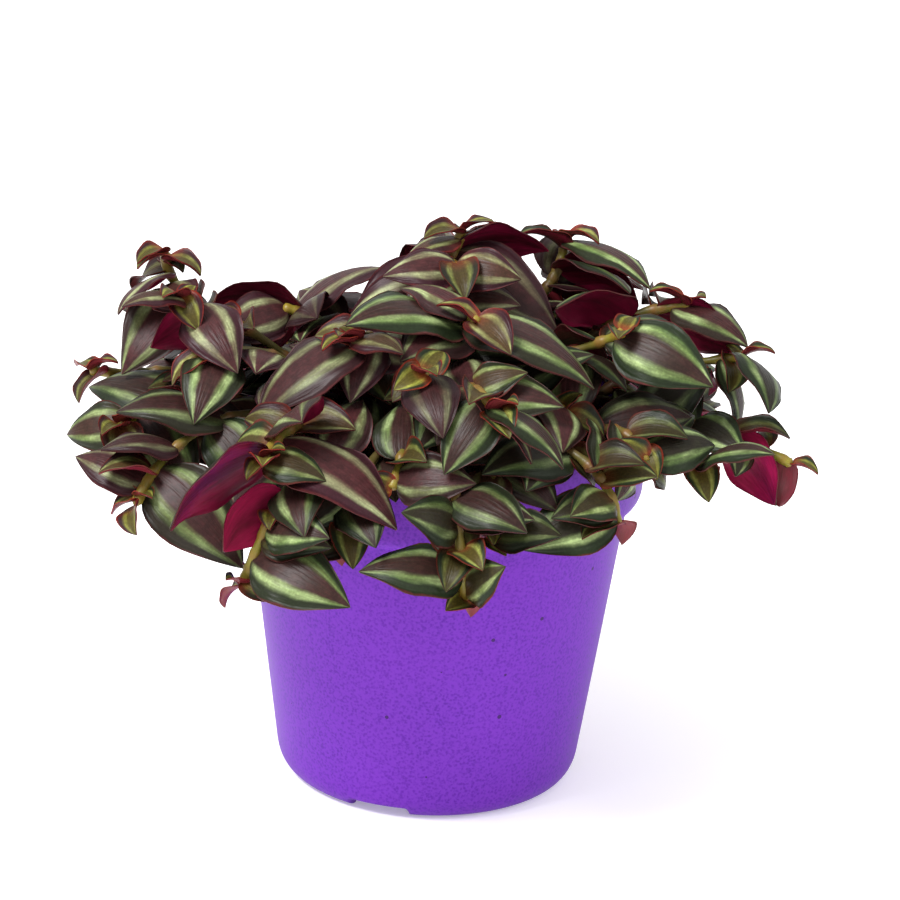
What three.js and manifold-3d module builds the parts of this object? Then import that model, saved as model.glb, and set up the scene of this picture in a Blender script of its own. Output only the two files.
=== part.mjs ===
// Potted tradescantia: a 12 cm plastic pot full of compost, and the leafy stems that stand in the
// compost, lean out over the rim and hang down round it. Millimetres, +Z up, pot axis on Z, floor at 0.
// Bearings are plan angles in degrees: 0 is right (+X), 90 is the back (+Y), -90 is the front.

import * as THREE from 'three';
import { mergeVertices } from 'three/addons/utils/BufferGeometryUtils.js';
import Module from 'manifold-3d';

const wasm = await Module();
wasm.setup();

// ---- Driving dimensions ----------------------------------------------------------------------

const GAP = 0.35; // left between pieces that touch
const POT_SEGMENTS = 32;
const SOIL_SEGMENTS = 16; // each spans two of the pot's, so the corners line up

const POT_HEIGHT = 110;
const RIM_RADIUS = 60;
const WALL = 1.2;
const BASE_RADIUS = 43.4; // of the wall, carried on down to the floor
const STEP_RADIUS = 55.4; // of the wall, where the rim band starts
const STEP_HEIGHT = 87.2; // underside of the rim band
const BAND_RADIUS = 59.2; // rim band, just above its rounded lower edge
const BAND_ROUND = 4.4; // radius of that lower edge
const LIP_ROUND = 0.7;
const BOTTOM_ROUND = 8; // big rounded edge between wall and foot
const FOOT_INNER = 34.8;
const FOOT_OUTER = 36.8;
const FLOOR_UNDER = 3.4; // the floor is raised, so that water runs away under it
const FLOOR_TOP = 5.2;

const NOTCH_BEARINGS = [-108.6, 11.4, 131.4]; // three gaps in the foot
const NOTCH_WIDTH = 17;
const NOTCH_HEIGHT = 3.7;
const NOTCH_DEPTH = 18;
const DRAIN_HOLES = 6;
const DRAIN_RADIUS = 3.5;
const DRAIN_RING = 22;

const SOIL_TOP = 98;
const SOIL_ROUGHNESS = 0.8;

const LEAFY_SHARE = 0.4; // of a stem's run, up to the tip, that carries blades
const STEM_RADIUS = 1.6;
const STEM_SIDES = 5;
const STEM_STEPS = 6;
const FOOT_DEPTH = 6; // how far a stem stands in the compost
const HOLE_RADIUS = STEM_RADIUS + 1.2;
const HOLE_SIDES = 4;
const HOLE_LENGTH = 20;

const BLADE_THICKNESS = 0.7;
const FREE_FROM = 0.16; // share of a blade, next to the stem, that may cross its sisters
const BLADE_CLEARANCE = 0.45; // kept on each side between a blade and what it doesn't grow from
const YOUNG_LENGTH = 17; // a blade shorter than this is still folded upwards
const FULL_LENGTH = 33; // and one from here on has its full number of stations
const BREADTH = 0.75; // of a blade: this times its length to the power 0.76 is its greatest half width
const NECK = 0.9; // half width where it joins the stem
const OLD_CROWN = 0.24; // how far the edges of a grown blade curl down, in half widths
const YOUNG_CROWN = -0.4;
const BOW = 0.13; // rise of a blade's arch over its length
const TWIST = 14; // degrees, most that a blade turns about its rib

// ---- How each stem grows ---------------------------------------------------------------------

// Which way a blade shows its upper side.
const UP = [0, 0, 1];
const FRONT = [0, -0.8, 0.6];
const AWAY = [0, 0.85, 0.3];
const LEFT = [-0.8, -0.3, 0.5];
const RIGHT = [0.8, -0.3, 0.5];
const FRONT_UP = [0, -0.5, 0.85];
const SLANT = [0, -0.2, 1]; // seen at a slant, so that it looks narrow
const SLANT_LEFT = [-0.3, -0.3, 0.9];
const CREST = [0.15, 0.1, 1]; // seen nearly edge on, arching to the right
const UNDER = [0, 0.8, 0.55]; // much of the underside shows
const EDGE_LEFT = [-0.5, -0.1, 0.8];
const EDGE_RIGHT = [0.85, -0.5, 0.1];

// Stems seen from the front. A stem leaves the compost at root, climbs by rise, leans over towards
// crest and ends at tip. Its blades, oldest first, are [bearing, tilt, length, upper side]. Blades
// find their room in this order, so the stems that show most come first.
const FRONT_STEMS = [
  { name: 'stem_left_low', root: [-40, -13], rise: 28, crest: [-80, -30, 120], tip: [-88, -42, 115],
    leafy: 0.28, leaves: [[-9, -17, 34, FRONT_UP], [-49, -45, 32, FRONT], [156, -20, 20, FRONT],
      [-65, -52, 15, FRONT]] },
  { name: 'stem_front_left', root: [-25, -29], rise: 30, crest: [-44, -62, 124], tip: [-46, -78, 119],
    leafy: 0.3, leaves: [[-164, -77, 29, FRONT], [-25, -25, 41, SLANT], [-141, -26, 36, UNDER],
      [-21, -10, 18, FRONT_UP], [-156, -13, 12, UP]] },
  { name: 'stem_left_hang', root: [-36, -24], rise: 32, crest: [-74, -50, 122], tip: [-81, -66, 101],
    leaves: [[-30, -40, 26, FRONT], [-26, -38, 36, FRONT], [-84, -33, 10, LEFT]] },
  { name: 'stem_low_left', root: [-21, -38], rise: 34, crest: [-42, -84, 118], tip: [-51, -78, 83],
    leafy: 0.3, leaves: [[-138, -29, 24, AWAY], [-39, 7, 22, FRONT], [-28, -15, 31, FRONT],
      [-22, -22, 12, FRONT], [-128, 34, 8, UP]] },
  { name: 'stem_low_front', root: [3, -47], rise: 36, crest: [5, -90, 114], tip: [9, -82, 84],
    leafy: 0.25, leaves: [[-144, 22, 20, FRONT], [109, 25, 18, FRONT], [-171, 13, 28, FRONT_UP],
      [-54, 51, 18, FRONT], [-113, -3, 9, FRONT]] },
  { name: 'stem_low_right', root: [22, -40], rise: 32, crest: [48, -66, 118], tip: [49, -64, 101],
    leafy: 0.5, leaves: [[-140, -10, 30, FRONT_UP], [98, 24, 24, EDGE_RIGHT], [-165, -22, 28, FRONT],
      [-137, -7, 13, SLANT]] },
  { name: 'stem_centre', root: [2, -15], rise: 46, crest: [5, -24, 148], tip: [9, -38, 148],
    leaves: [[-146, 8, 38, SLANT], [-21, -20, 41, SLANT], [146, 1, 24, UP], [-47, -30, 16, FRONT_UP],
      [170, 20, 12, UP]] },
  { name: 'stem_centre_left', root: [-15, -21], rise: 40, crest: [-18, -32, 144], tip: [-25, -44, 143],
    leaves: [[-40, -4, 22, FRONT], [-103, -47, 22, FRONT], [-154, -35, 37, SLANT_LEFT],
      [-37, 9, 17, SLANT], [-139, -4, 10, UP]] },
  { name: 'stem_right_heart', root: [22, -9], rise: 38, crest: [42, -18, 134], tip: [50, -24, 143],
    leaves: [[-97, -37, 25, FRONT], [128, -22, 24, AWAY], [-25, -18, 31, FRONT], [67, 13, 8, UP]] },
  { name: 'stem_left_high', root: [-31, 5], rise: 34, crest: [-79, -8, 132], tip: [-79, -8, 156],
    leafy: 0.2, leaves: [[-133, -41, 30, FRONT], [-130, -19, 22, LEFT], [-28, -12, 12, UP],
      [-138, -11, 10, UP]] },
  { name: 'stem_left_shoulder', root: [-31, -7], rise: 34, crest: [-66, -18, 140], tip: [-73, -28, 149],
    leafy: 0.26, leaves: [[-162, -23, 21, AWAY], [-55, -30, 26, FRONT], [-149, 1, 19, UP],
      [-44, -46, 11, FRONT]] },
  { name: 'stem_left_curl', root: [-38, 8], rise: 32, crest: [-90, 4, 112], tip: [-100, -4, 119],
    leafy: 0.3, leaves: [[-82, -18, 32, FRONT], [-130, -30, 13, LEFT], [-20, 22, 9, UP]] },
  { name: 'stem_left_inner', root: [-17, 5], rise: 26, crest: [-30, 0, 136], tip: [-46, -2, 139],
    leafy: 0.16, leaves: [[168, 4, 29, UNDER], [30, 19, 31, EDGE_LEFT], [-154, -15, 23, FRONT],
      [-143, -41, 17, UNDER]] },
  { name: 'stem_left_mid', root: [-26, -16], rise: 34, crest: [-58, -22, 136], tip: [-64, -36, 134],
    leaves: [[-85, 4, 21, FRONT], [-107, -42, 26, FRONT], [-153, -20, 13, LEFT]] },
  { name: 'stem_bud_left', root: [-10, -43], rise: 34, crest: [-24, -74, 112], tip: [-24, -71, 94],
    leaves: [[-147, -35, 25, FRONT], [-78, -50, 14, FRONT], [-111, 43, 7, UP]] },
  { name: 'stem_bud_front', root: [12, -44], rise: 34, crest: [17, -76, 114], tip: [15, -73, 99],
    leaves: [[-106, -49, 18, FRONT], [-54, -24, 8, FRONT]] },
  { name: 'stem_front_mid', root: [5, -31], rise: 34, crest: [6, -58, 140], tip: [15, -70, 133],
    leaves: [[100, -1, 24, FRONT], [-33, -41, 24, RIGHT], [-32, -36, 27, RIGHT], [-71, -16, 12, FRONT]] },
  { name: 'stem_drop_front', root: [-8, -34], rise: 28, crest: [-8, -62, 122], tip: [-12, -70, 110],
    leaves: [[69, -11, 18, FRONT], [91, 14, 23, FRONT], [-7, 6, 23, FRONT], [-165, 36, 9, FRONT]] },
  { name: 'stem_small_front', root: [-3, -24], rise: 34, crest: [-4, -52, 134], tip: [-5, -60, 140],
    leaves: [[-111, -20, 14, FRONT], [62, 23, 11, FRONT], [-142, -19, 10, FRONT]] },
  { name: 'stem_tuft_left', root: [-16, -33], rise: 26, crest: [-26, -58, 118], tip: [-32, -66, 116],
    leaves: [[103, 13, 22, FRONT], [55, 14, 22, FRONT], [-139, 34, 9, UP]] },
  { name: 'stem_top', root: [-5, 7], rise: 48, crest: [2, 8, 154], tip: [4, 8, 161],
    leaves: [[-155, -25, 32, FRONT], [-22, -28, 38, FRONT], [10, -3, 27, UNDER], [-159, -21, 18, UP],
      [-151, -1, 12, UP], [-15, 22, 10, UP]] },
  { name: 'stem_top_front', root: [1, -4], rise: 46, crest: [2, -8, 153], tip: [3, -8, 156],
    leaves: [[178, -20, 32, FRONT], [-140, -15, 19, FRONT], [-15, -5, 19, FRONT],
      [-90, -30, 14, FRONT]] },
  { name: 'stem_umbrella', root: [17, 12], rise: 46, crest: [33, 18, 136], tip: [34, 22, 157],
    leafy: 0.13, leaves: [[-5, -24, 25, AWAY], [-152, 14, 16, UP], [-31, -25, 30, CREST],
      [-38, 2, 12, UP]] },
  { name: 'stem_right_high', root: [28, 9], rise: 40, crest: [62, 10, 140], tip: [70, 8, 142],
    leaves: [[-131, 9, 33, UNDER], [-11, -21, 28, AWAY], [-28, -26, 25, SLANT], [-165, 24, 12, UP],
      [-44, 32, 7, UP]] },
  { name: 'stem_right_far', root: [37, 3], rise: 30, crest: [74, 6, 124], tip: [86, 0, 130],
    leaves: [[-60, -45, 24, FRONT], [-62, -61, 22, EDGE_RIGHT], [-76, -18, 27, UNDER]] },
  { name: 'stem_right_low', root: [40, -10], rise: 28, crest: [82, -12, 112], tip: [100, -18, 104],
    leaves: [[-55, -3, 24, FRONT], [-45, -41, 24, AWAY], [107, 4, 12, FRONT], [-97, -55, 14, AWAY],
      [-22, -11, 8, UP]] },
  { name: 'stem_right_bud', root: [33, -24], rise: 28, crest: [58, -44, 120], tip: [56, -52, 115],
    leaves: [[-89, -33, 28, EDGE_RIGHT], [-55, -41, 10, FRONT], [-166, 38, 10, FRONT]] },
  { name: 'stem_right_rosette', root: [38, -19], rise: 28, crest: [68, -32, 116], tip: [73, -38, 108],
    leaves: [[120, 20, 20, FRONT], [-117, 4, 14, FRONT], [-64, -47, 12, FRONT], [-13, 25, 8, UP]] },
];

// Stems that fill the mound where the front ones leave it open. Each reaches out on its bearing to
// [reach, height] of its tip, and its blades stand in two ranks by the rule in ruledStem.
const RULED_STEMS = [
  { name: 'stem_back_1', bearing: 24, reach: 80, height: 104, leaves: 4 },
  { name: 'stem_back_2', bearing: 43, reach: 82, height: 100, leaves: 4 },
  { name: 'stem_back_3', bearing: 66, reach: 81, height: 97, leaves: 4 },
  { name: 'stem_back_4', bearing: 90, reach: 76, height: 104, leaves: 5 },
  { name: 'stem_back_5', bearing: 113, reach: 81, height: 98, leaves: 4 },
  { name: 'stem_back_6', bearing: 136, reach: 82, height: 100, leaves: 5 },
  { name: 'stem_back_7', bearing: 162, reach: 99, height: 94, leaves: 4 },
  { name: 'stem_crown_1', bearing: 48, reach: 58, height: 138, leaves: 5 },
  { name: 'stem_crown_2', bearing: 76, reach: 60, height: 130, leaves: 4 },
  { name: 'stem_crown_3', bearing: 112, reach: 58, height: 120, leaves: 5 },
  { name: 'stem_crown_4', bearing: 80, reach: 30, height: 150, leaves: 4 },
  { name: 'stem_under_right', bearing: -50, reach: 50, height: 122, leaves: 3 },
];
const RULED_LENGTH = 38; // of the oldest blade; the youngest is a third as long
const RULED_SPREAD = [62, 34]; // degrees from the stem's heading, oldest and youngest

// Ways in which a blade may bend to stay clear: [turn, lift, share of its length], best first.
const BENDS = [1, 0.86, 0.72, 0.58].flatMap((share) => [
  [0, 0, share], [0, 9, share], [0, -9, share], [12, 0, share], [-12, 0, share],
  [10, 12, share], [-10, 12, share], [10, -12, share], [-10, -12, share],
  [0, 20, share], [0, -20, share], [24, 0, share], [-24, 0, share],
  [22, 18, share], [-22, 18, share], [22, -18, share], [-22, -18, share],
  [0, 32, share], [40, 10, share], [-40, 10, share],
]);

const COLOURS = {
  pot: new THREE.MeshStandardMaterial({ color: 0x8140cb, roughness: 0.5, metalness: 0 }),
  soil: new THREE.MeshStandardMaterial({ color: 0x2a1d14, roughness: 0.95, metalness: 0 }),
  plant: new THREE.MeshStandardMaterial({ color: 0x5c5f42, roughness: 0.45, metalness: 0 }),
};

// ---- Solids ----------------------------------------------------------------------------------

function solid(geometry) {
  geometry.deleteAttribute('normal');
  geometry.deleteAttribute('uv');
  const merged = mergeVertices(geometry);
  const index = Array.from(merged.index.array);
  const triVerts = [];
  for (let i = 0; i < index.length; i += 3) {
    const [a, b, c] = index.slice(i, i + 3);
    if (a !== b && b !== c && c !== a) triVerts.push(a, b, c);
  }
  return new wasm.Manifold(new wasm.Mesh({
    numProp: 3,
    vertProperties: new Float32Array(merged.attributes.position.array),
    triVerts: new Uint32Array(triVerts),
  }));
}

// The largest body of a solid: loose scraps and sealed hollows go.
function mainBody(manifold) {
  return manifold.decompose().reduce((best, part) => (part.volume() > best.volume() ? part : best));
}

function mesh(name, manifold, material) {
  const { vertProperties, triVerts } = mainBody(manifold).getMesh();
  const geometry = new THREE.BufferGeometry();
  geometry.setAttribute('position', new THREE.BufferAttribute(vertProperties, 3));
  geometry.setIndex(new THREE.BufferAttribute(triVerts, 1));
  geometry.computeVertexNormals();
  const result = new THREE.Mesh(geometry, material.clone());
  result.name = name;
  return result;
}

function direction(bearing, tilt) {
  const b = THREE.MathUtils.degToRad(bearing);
  const t = THREE.MathUtils.degToRad(tilt);
  return new THREE.Vector3(Math.cos(b) * Math.cos(t), Math.sin(b) * Math.cos(t), Math.sin(t));
}

function turned(outline, segments) {
  return new THREE.LatheGeometry(outline.getPoints(2), segments).rotateX(Math.PI / 2);
}

// ---- Pot -------------------------------------------------------------------------------------

function wallRadius(height) {
  return BASE_RADIUS + ((STEP_RADIUS - BASE_RADIUS) * height) / STEP_HEIGHT;
}

function potOutline() {
  const bandInside = BAND_RADIUS - WALL;
  const ledgeTop = STEP_HEIGHT + WALL;
  const inside = (height) => wallRadius(height) - WALL;
  return new THREE.Path()
    .moveTo(0, FLOOR_UNDER)
    .lineTo(FOOT_INNER - 0.4, FLOOR_UNDER)
    .lineTo(FOOT_INNER, 0)
    .lineTo(FOOT_OUTER, 0)
    .quadraticCurveTo(BASE_RADIUS, 0, wallRadius(BOTTOM_ROUND), BOTTOM_ROUND)
    .lineTo(STEP_RADIUS, STEP_HEIGHT)
    .lineTo(BAND_RADIUS - BAND_ROUND * 0.8, STEP_HEIGHT)
    .quadraticCurveTo(BAND_RADIUS, STEP_HEIGHT, BAND_RADIUS, STEP_HEIGHT + BAND_ROUND)
    .lineTo(RIM_RADIUS, POT_HEIGHT - LIP_ROUND)
    .lineTo(RIM_RADIUS - LIP_ROUND, POT_HEIGHT)
    .lineTo(RIM_RADIUS - WALL, POT_HEIGHT)
    .lineTo(bandInside, STEP_HEIGHT + BAND_ROUND)
    .quadraticCurveTo(bandInside, ledgeTop, inside(STEP_HEIGHT) + 0.6, ledgeTop)
    .lineTo(inside(STEP_HEIGHT), STEP_HEIGHT - 0.6)
    .lineTo(inside(BOTTOM_ROUND), BOTTOM_ROUND)
    .quadraticCurveTo(BASE_RADIUS - 1, FLOOR_TOP, FOOT_OUTER, FLOOR_TOP)
    .lineTo(0, FLOOR_TOP);
}

function makePot() {
  let pot = solid(turned(potOutline(), POT_SEGMENTS));
  for (const bearing of NOTCH_BEARINGS) {
    const notch = new THREE.BoxGeometry(NOTCH_DEPTH, NOTCH_WIDTH, 2 * NOTCH_HEIGHT);
    notch.translate(FOOT_OUTER + 2, 0, 0).rotateZ(THREE.MathUtils.degToRad(bearing));
    pot = pot.subtract(solid(notch));
  }
  for (let i = 0; i < DRAIN_HOLES; i += 1) {
    const hole = new THREE.CylinderGeometry(DRAIN_RADIUS, DRAIN_RADIUS, 2 * FLOOR_TOP, 10);
    hole.rotateX(Math.PI / 2).translate(DRAIN_RING, 0, FLOOR_TOP);
    pot = pot.subtract(solid(hole.rotateZ((i * 2 * Math.PI) / DRAIN_HOLES)));
  }
  return pot;
}

// ---- Compost ---------------------------------------------------------------------------------

function soilOutline() {
  const side = (height) => wallRadius(height) - WALL - GAP;
  const top = BAND_RADIUS - WALL - GAP;
  const ledge = STEP_HEIGHT + WALL + GAP;
  return new THREE.Path()
    .moveTo(0, FLOOR_TOP + GAP)
    .lineTo(FOOT_OUTER - GAP, FLOOR_TOP + GAP)
    .quadraticCurveTo(BASE_RADIUS - 1.6, FLOOR_TOP + GAP, side(BOTTOM_ROUND + 1), BOTTOM_ROUND + 1)
    .lineTo(side(STEP_HEIGHT) - 0.1, ledge)
    .lineTo(top - 0.2, STEP_HEIGHT + BAND_ROUND + GAP)
    .lineTo(top, SOIL_TOP)
    .lineTo(top * 0.7, SOIL_TOP)
    .lineTo(top * 0.35, SOIL_TOP)
    .lineTo(0, SOIL_TOP);
}

// A crumbly top: two crossed ripples of different length.
function soilRise(x, y) {
  return SOIL_ROUGHNESS * (Math.sin(0.31 * x + 1) * Math.cos(0.27 * y) + 0.6 * Math.sin(0.7 * x - 0.5 * y));
}

// The hole that a stem stands in. It leans as the first stretch of the stem does.
function makeHole(stem) {
  const path = stemPath(stem);
  const foot = path.getPointAt(0);
  const heading = path.getPointAt(1 / STEM_STEPS).sub(foot).normalize();
  const lean = new THREE.Quaternion().setFromUnitVectors(new THREE.Vector3(0, 0, 1), heading);
  const hole = new THREE.CylinderGeometry(HOLE_RADIUS, HOLE_RADIUS, HOLE_LENGTH, HOLE_SIDES);
  hole.rotateX(Math.PI / 2).translate(0, 0, HOLE_LENGTH / 2 - 2 * GAP);
  hole.applyQuaternion(lean).translate(foot.x, foot.y, foot.z);
  return solid(hole);
}

function makeSoil(stems) {
  const geometry = turned(soilOutline(), SOIL_SEGMENTS);
  const position = geometry.attributes.position;
  for (let i = 0; i < position.count; i += 1) {
    const [x, y, z] = [position.getX(i), position.getY(i), position.getZ(i)];
    if (z > SOIL_TOP - 0.01) position.setZ(i, z + soilRise(x, y));
  }
  let soil = solid(geometry);
  for (const stem of stems) soil = soil.subtract(makeHole(stem));
  return soil;
}

// ---- Stems -----------------------------------------------------------------------------------

function stemPath({ root, rise, crest, tip }) {
  return new THREE.CubicBezierCurve3(
    new THREE.Vector3(root[0], root[1], SOIL_TOP - FOOT_DEPTH),
    new THREE.Vector3(root[0], root[1], SOIL_TOP + rise),
    new THREE.Vector3(...crest),
    new THREE.Vector3(...tip),
  );
}

function makeStem(stem, radius) {
  const corners = Array.from({ length: STEM_SIDES }, (_, i) => {
    const angle = (i * 2 * Math.PI) / STEM_SIDES;
    return new THREE.Vector2(radius * Math.cos(angle), radius * Math.sin(angle));
  });
  const shape = new THREE.Shape(corners);
  return solid(new THREE.ExtrudeGeometry(shape, { steps: STEM_STEPS, extrudePath: stemPath(stem) }));
}

// A number from -1 to 1 that looks random and is the same every time.
function draw(seed) {
  const wave = Math.sin(seed * 12.9898) * 43758.5453;
  return 2 * (wave - Math.floor(wave)) - 1;
}

// Where blade number i of n joins its stem: nodes close up towards the tip.
function nodeAt(i, n, leafy = LEAFY_SHARE) {
  return 1 - leafy * Math.pow((n - 1 - i) / (n - 1), 1.6);
}

// A stem whose blades alternate to the left and right of its heading and shrink towards the tip.
function ruledStem({ name, bearing, reach, height, leaves: count }, order) {
  const at = (r, turn) => [r * direction(bearing + turn, 0).x, r * direction(bearing + turn, 0).y];
  const spread = 6 * draw(order + 0.3);
  const root = at(0.32 * reach + 3 * draw(order + 0.7), spread);
  const crest = [...at(0.74 * reach, 0), Math.max(height, 116) + 8];
  const tip = [...at(reach, -spread), height];
  const outward = direction(bearing, 45).toArray();
  const leaves = Array.from({ length: count }, (_, i) => {
    const age = 1 - i / (count - 1);
    const side = (i + order) % 2 ? 1 : -1;
    const turn = RULED_SPREAD[1] + (RULED_SPREAD[0] - RULED_SPREAD[1]) * age;
    const wobble = draw(order * 7 + i);
    const length = RULED_LENGTH * (0.34 + 0.66 * Math.pow(age, 0.8));
    return [bearing + side * turn + 10 * wobble, -30 * age - 8 + 10 * wobble, length, outward];
  });
  return { name, root, rise: 30, crest, tip, leaves };
}

// ---- Blades ----------------------------------------------------------------------------------

// Half width of a blade of the given length at share s of the way from base to tip: broad and
// rounded near the base, then drawn out to a point, with a short neck that clasps the stem.
function halfWidth(s, length) {
  const widest = BREADTH * Math.pow(length, 0.76);
  const oval = (Math.pow(s, 0.5) * Math.pow(1 - s, 0.92)) / 0.398;
  return widest * oval + NECK * Math.pow(1 - s, 6);
}

// Where along the rib a blade has its points: fewer on a small one.
function stationsOf(length) {
  if (length < YOUNG_LENGTH) return [0, 0.32, 1];
  return length < FULL_LENGTH ? [0, 0.24, 0.6, 1] : [0, 0.2, 0.5, 0.78, 1];
}

// A closed blade: stations along the rib, three points across, the same triangles on both sides.
// The margin widens it, and start leaves off that share of it next to the stem.
function makeBlade({ base, chord, facing, length, twist }, thickness, margin, start) {
  const upper = facing.clone().addScaledVector(chord, -facing.dot(chord)).normalize();
  const across = new THREE.Vector3().crossVectors(upper, chord);
  const stations = stationsOf(length);
  const crown = length < YOUNG_LENGTH ? YOUNG_CROWN : OLD_CROWN;
  const points = [];
  for (const station of stations) {
    const s = start + (1 - start) * station;
    const rib = base.clone().addScaledVector(chord, s * length);
    rib.addScaledVector(upper, 4 * BOW * length * s * (1 - s));
    const slope = 4 * BOW * (1 - 2 * s);
    const along = chord.clone().addScaledVector(upper, slope).normalize();
    const side = across.clone().applyAxisAngle(along, twist * s);
    const normal = new THREE.Vector3().crossVectors(along, side);
    const half = halfWidth(s, length) + margin;
    for (const skin of [thickness / 2, -thickness / 2]) {
      for (const w of [-1, 0, 1]) {
        const point = rib.clone().addScaledVector(side, w * half);
        points.push(point.addScaledVector(normal, skin - crown * half * w * w));
      }
    }
  }
  const index = [];
  const quad = (a, b, c, d) => index.push(a, b, c, a, c, d);
  for (let i = 0; i + 1 < stations.length; i += 1) {
    const [here, next] = [6 * i, 6 * i + 6];
    for (const j of [0, 1]) {
      quad(here + j, next + j, next + j + 1, here + j + 1);
      index.push(here + j + 3, next + j + 4, next + j + 3, here + j + 3, here + j + 4, next + j + 4);
    }
    quad(here + 3, next + 3, next, here);
    quad(here + 2, next + 2, next + 5, here + 5);
  }
  const last = 6 * (stations.length - 1);
  for (const j of [0, 1]) {
    quad(j, j + 1, j + 4, j + 3);
    quad(last + j + 1, last + j, last + j + 3, last + j + 4);
  }
  const geometry = new THREE.BufferGeometry();
  const flat = points.flatMap((point) => point.toArray());
  geometry.setAttribute('position', new THREE.Float32BufferAttribute(flat, 3));
  geometry.setIndex(index);
  return solid(geometry);
}

// ---- Keeping clear ---------------------------------------------------------------------------

const placed = []; // { owner, kind, body, box }

function place(owner, kind, body) {
  const { min, max } = body.boundingBox();
  const box = new THREE.Box3(new THREE.Vector3(...min), new THREE.Vector3(...max));
  placed.push({ owner, kind, body, box });
}

function meets(body, sort) {
  const { min, max } = body.boundingBox();
  const box = new THREE.Box3(new THREE.Vector3(...min), new THREE.Vector3(...max));
  return placed.some((other) => (
    sort(other) && other.box.intersectsBox(box) && other.body.intersect(body).volume() > 1e-5
  ));
}

// The first bend in which the blade is clear of everything that it doesn't grow from, and if
// possible of its own stem's other blades too; null if there is none.
function clearBlade(owner, path, at, [bearing, tilt, length, facing], seed) {
  const poses = BENDS.map(([turn, lift, share]) => ({
    base: path.getPoint(at),
    chord: direction(bearing + turn, tilt + lift),
    facing: new THREE.Vector3(...facing),
    length: length * share,
    twist: THREE.MathUtils.degToRad(TWIST) * draw(seed),
  }));
  const wide = BLADE_THICKNESS + 2 * BLADE_CLEARANCE;
  const free = poses.filter((pose) => {
    const whole = makeBlade(pose, wide, BLADE_CLEARANCE, 0);
    return !meets(whole, (other) => other.owner !== owner);
  });
  return free.find((pose) => {
    const outer = makeBlade(pose, wide, 0, FREE_FROM);
    return !meets(outer, (other) => other.owner === owner && other.kind === 'blade');
  }) ?? free[0];
}

// ---- Assembly --------------------------------------------------------------------------------

const stems = [...FRONT_STEMS, ...RULED_STEMS.map(ruledStem)];
const pot = makePot();
const soil = makeSoil(stems);
place('pot', 'pot', pot);
place('soil', 'soil', soil);

const grown = new Map();
for (const stem of stems) {
  const body = makeStem(stem, STEM_RADIUS);
  const spaced = makeStem(stem, STEM_RADIUS + GAP);
  if (meets(spaced, (other) => other.kind !== 'soil') || meets(body, () => true)) {
    throw new Error(`${stem.name} runs into a neighbour`);
  }
  place(stem.name, 'stem', body);
  grown.set(stem.name, body);
}

let seed = 0;
for (const stem of stems) {
  const path = stemPath(stem);
  stem.leaves.forEach((leaf, i) => {
    seed += 1;
    const pose = clearBlade(stem.name, path, nodeAt(i, stem.leaves.length, stem.leafy), leaf, seed);
    if (!pose) return; // no room here: the stem does without this one
    const blade = makeBlade(pose, BLADE_THICKNESS, 0, 0);
    place(stem.name, 'blade', blade);
    grown.set(stem.name, grown.get(stem.name).add(blade));
  });
}

const plant = new THREE.Group();
plant.add(mesh('pot', pot, COLOURS.pot));
plant.add(mesh('soil', soil, COLOURS.soil));
for (const [name, body] of grown) plant.add(mesh(name, body, COLOURS.plant));

export default plant;
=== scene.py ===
# %% [markdown]
# # A potted tradescantia, dressed leaf by leaf
#
# The real thing is a trailing house plant in a purple nursery pot. Its fleshy stems stand in the
# compost, climb over the rim and hang down round it, and each leaf carries two silvery bands over a
# dark, purple-brown middle and a wine-red underside.
#
# The CAD frame already holds the sizes: a pot, the compost and one solid for each leafy stem. This
# lesson loads that frame and puts a finer piece in the place of every solid. All shapes are worked
# out in millimetres, in the frame's own axes: +X is right, -Y is the front, +Z is up and the floor
# is z = 0. They become metres only when a mesh is made.

import bmesh
import bpy
import numpy as np
from mathutils import Matrix, Vector
from mathutils.bvhtree import BVHTree


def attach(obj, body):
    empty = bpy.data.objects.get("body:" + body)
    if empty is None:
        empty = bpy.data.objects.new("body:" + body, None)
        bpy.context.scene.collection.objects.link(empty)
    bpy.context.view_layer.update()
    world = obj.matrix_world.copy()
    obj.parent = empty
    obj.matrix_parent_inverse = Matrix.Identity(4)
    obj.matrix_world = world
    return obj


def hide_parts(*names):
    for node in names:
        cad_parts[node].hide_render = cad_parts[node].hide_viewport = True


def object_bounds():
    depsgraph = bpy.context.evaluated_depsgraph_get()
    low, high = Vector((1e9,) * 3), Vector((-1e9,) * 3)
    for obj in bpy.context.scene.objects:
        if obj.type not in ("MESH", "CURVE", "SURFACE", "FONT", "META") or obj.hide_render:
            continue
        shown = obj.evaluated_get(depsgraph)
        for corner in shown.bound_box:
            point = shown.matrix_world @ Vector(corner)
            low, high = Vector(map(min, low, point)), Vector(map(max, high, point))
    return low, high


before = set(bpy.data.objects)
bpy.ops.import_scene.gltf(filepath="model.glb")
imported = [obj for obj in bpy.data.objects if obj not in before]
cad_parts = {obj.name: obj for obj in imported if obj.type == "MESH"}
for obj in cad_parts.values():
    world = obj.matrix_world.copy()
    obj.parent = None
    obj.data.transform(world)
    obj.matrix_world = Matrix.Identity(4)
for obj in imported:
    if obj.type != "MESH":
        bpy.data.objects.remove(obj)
cad_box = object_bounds()
MM = 0.001
BOX_LOW, BOX_HIGH = (np.array(corner) / MM for corner in cad_box)
print("CAD box in mm:", BOX_LOW.round(1), "to", BOX_HIGH.round(1))

# %% [markdown]
# ## Meshes from arrays
#
# A mesh is four lists: points, faces, a UV place for each corner of each face, and a finish for each
# face. Every shape below is computed as whole numpy arrays, so one helper can hand those arrays to
# Blender in bulk. That is far faster than adding vertices one at a time, and it keeps the shapes
# themselves free of Blender code.

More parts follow.
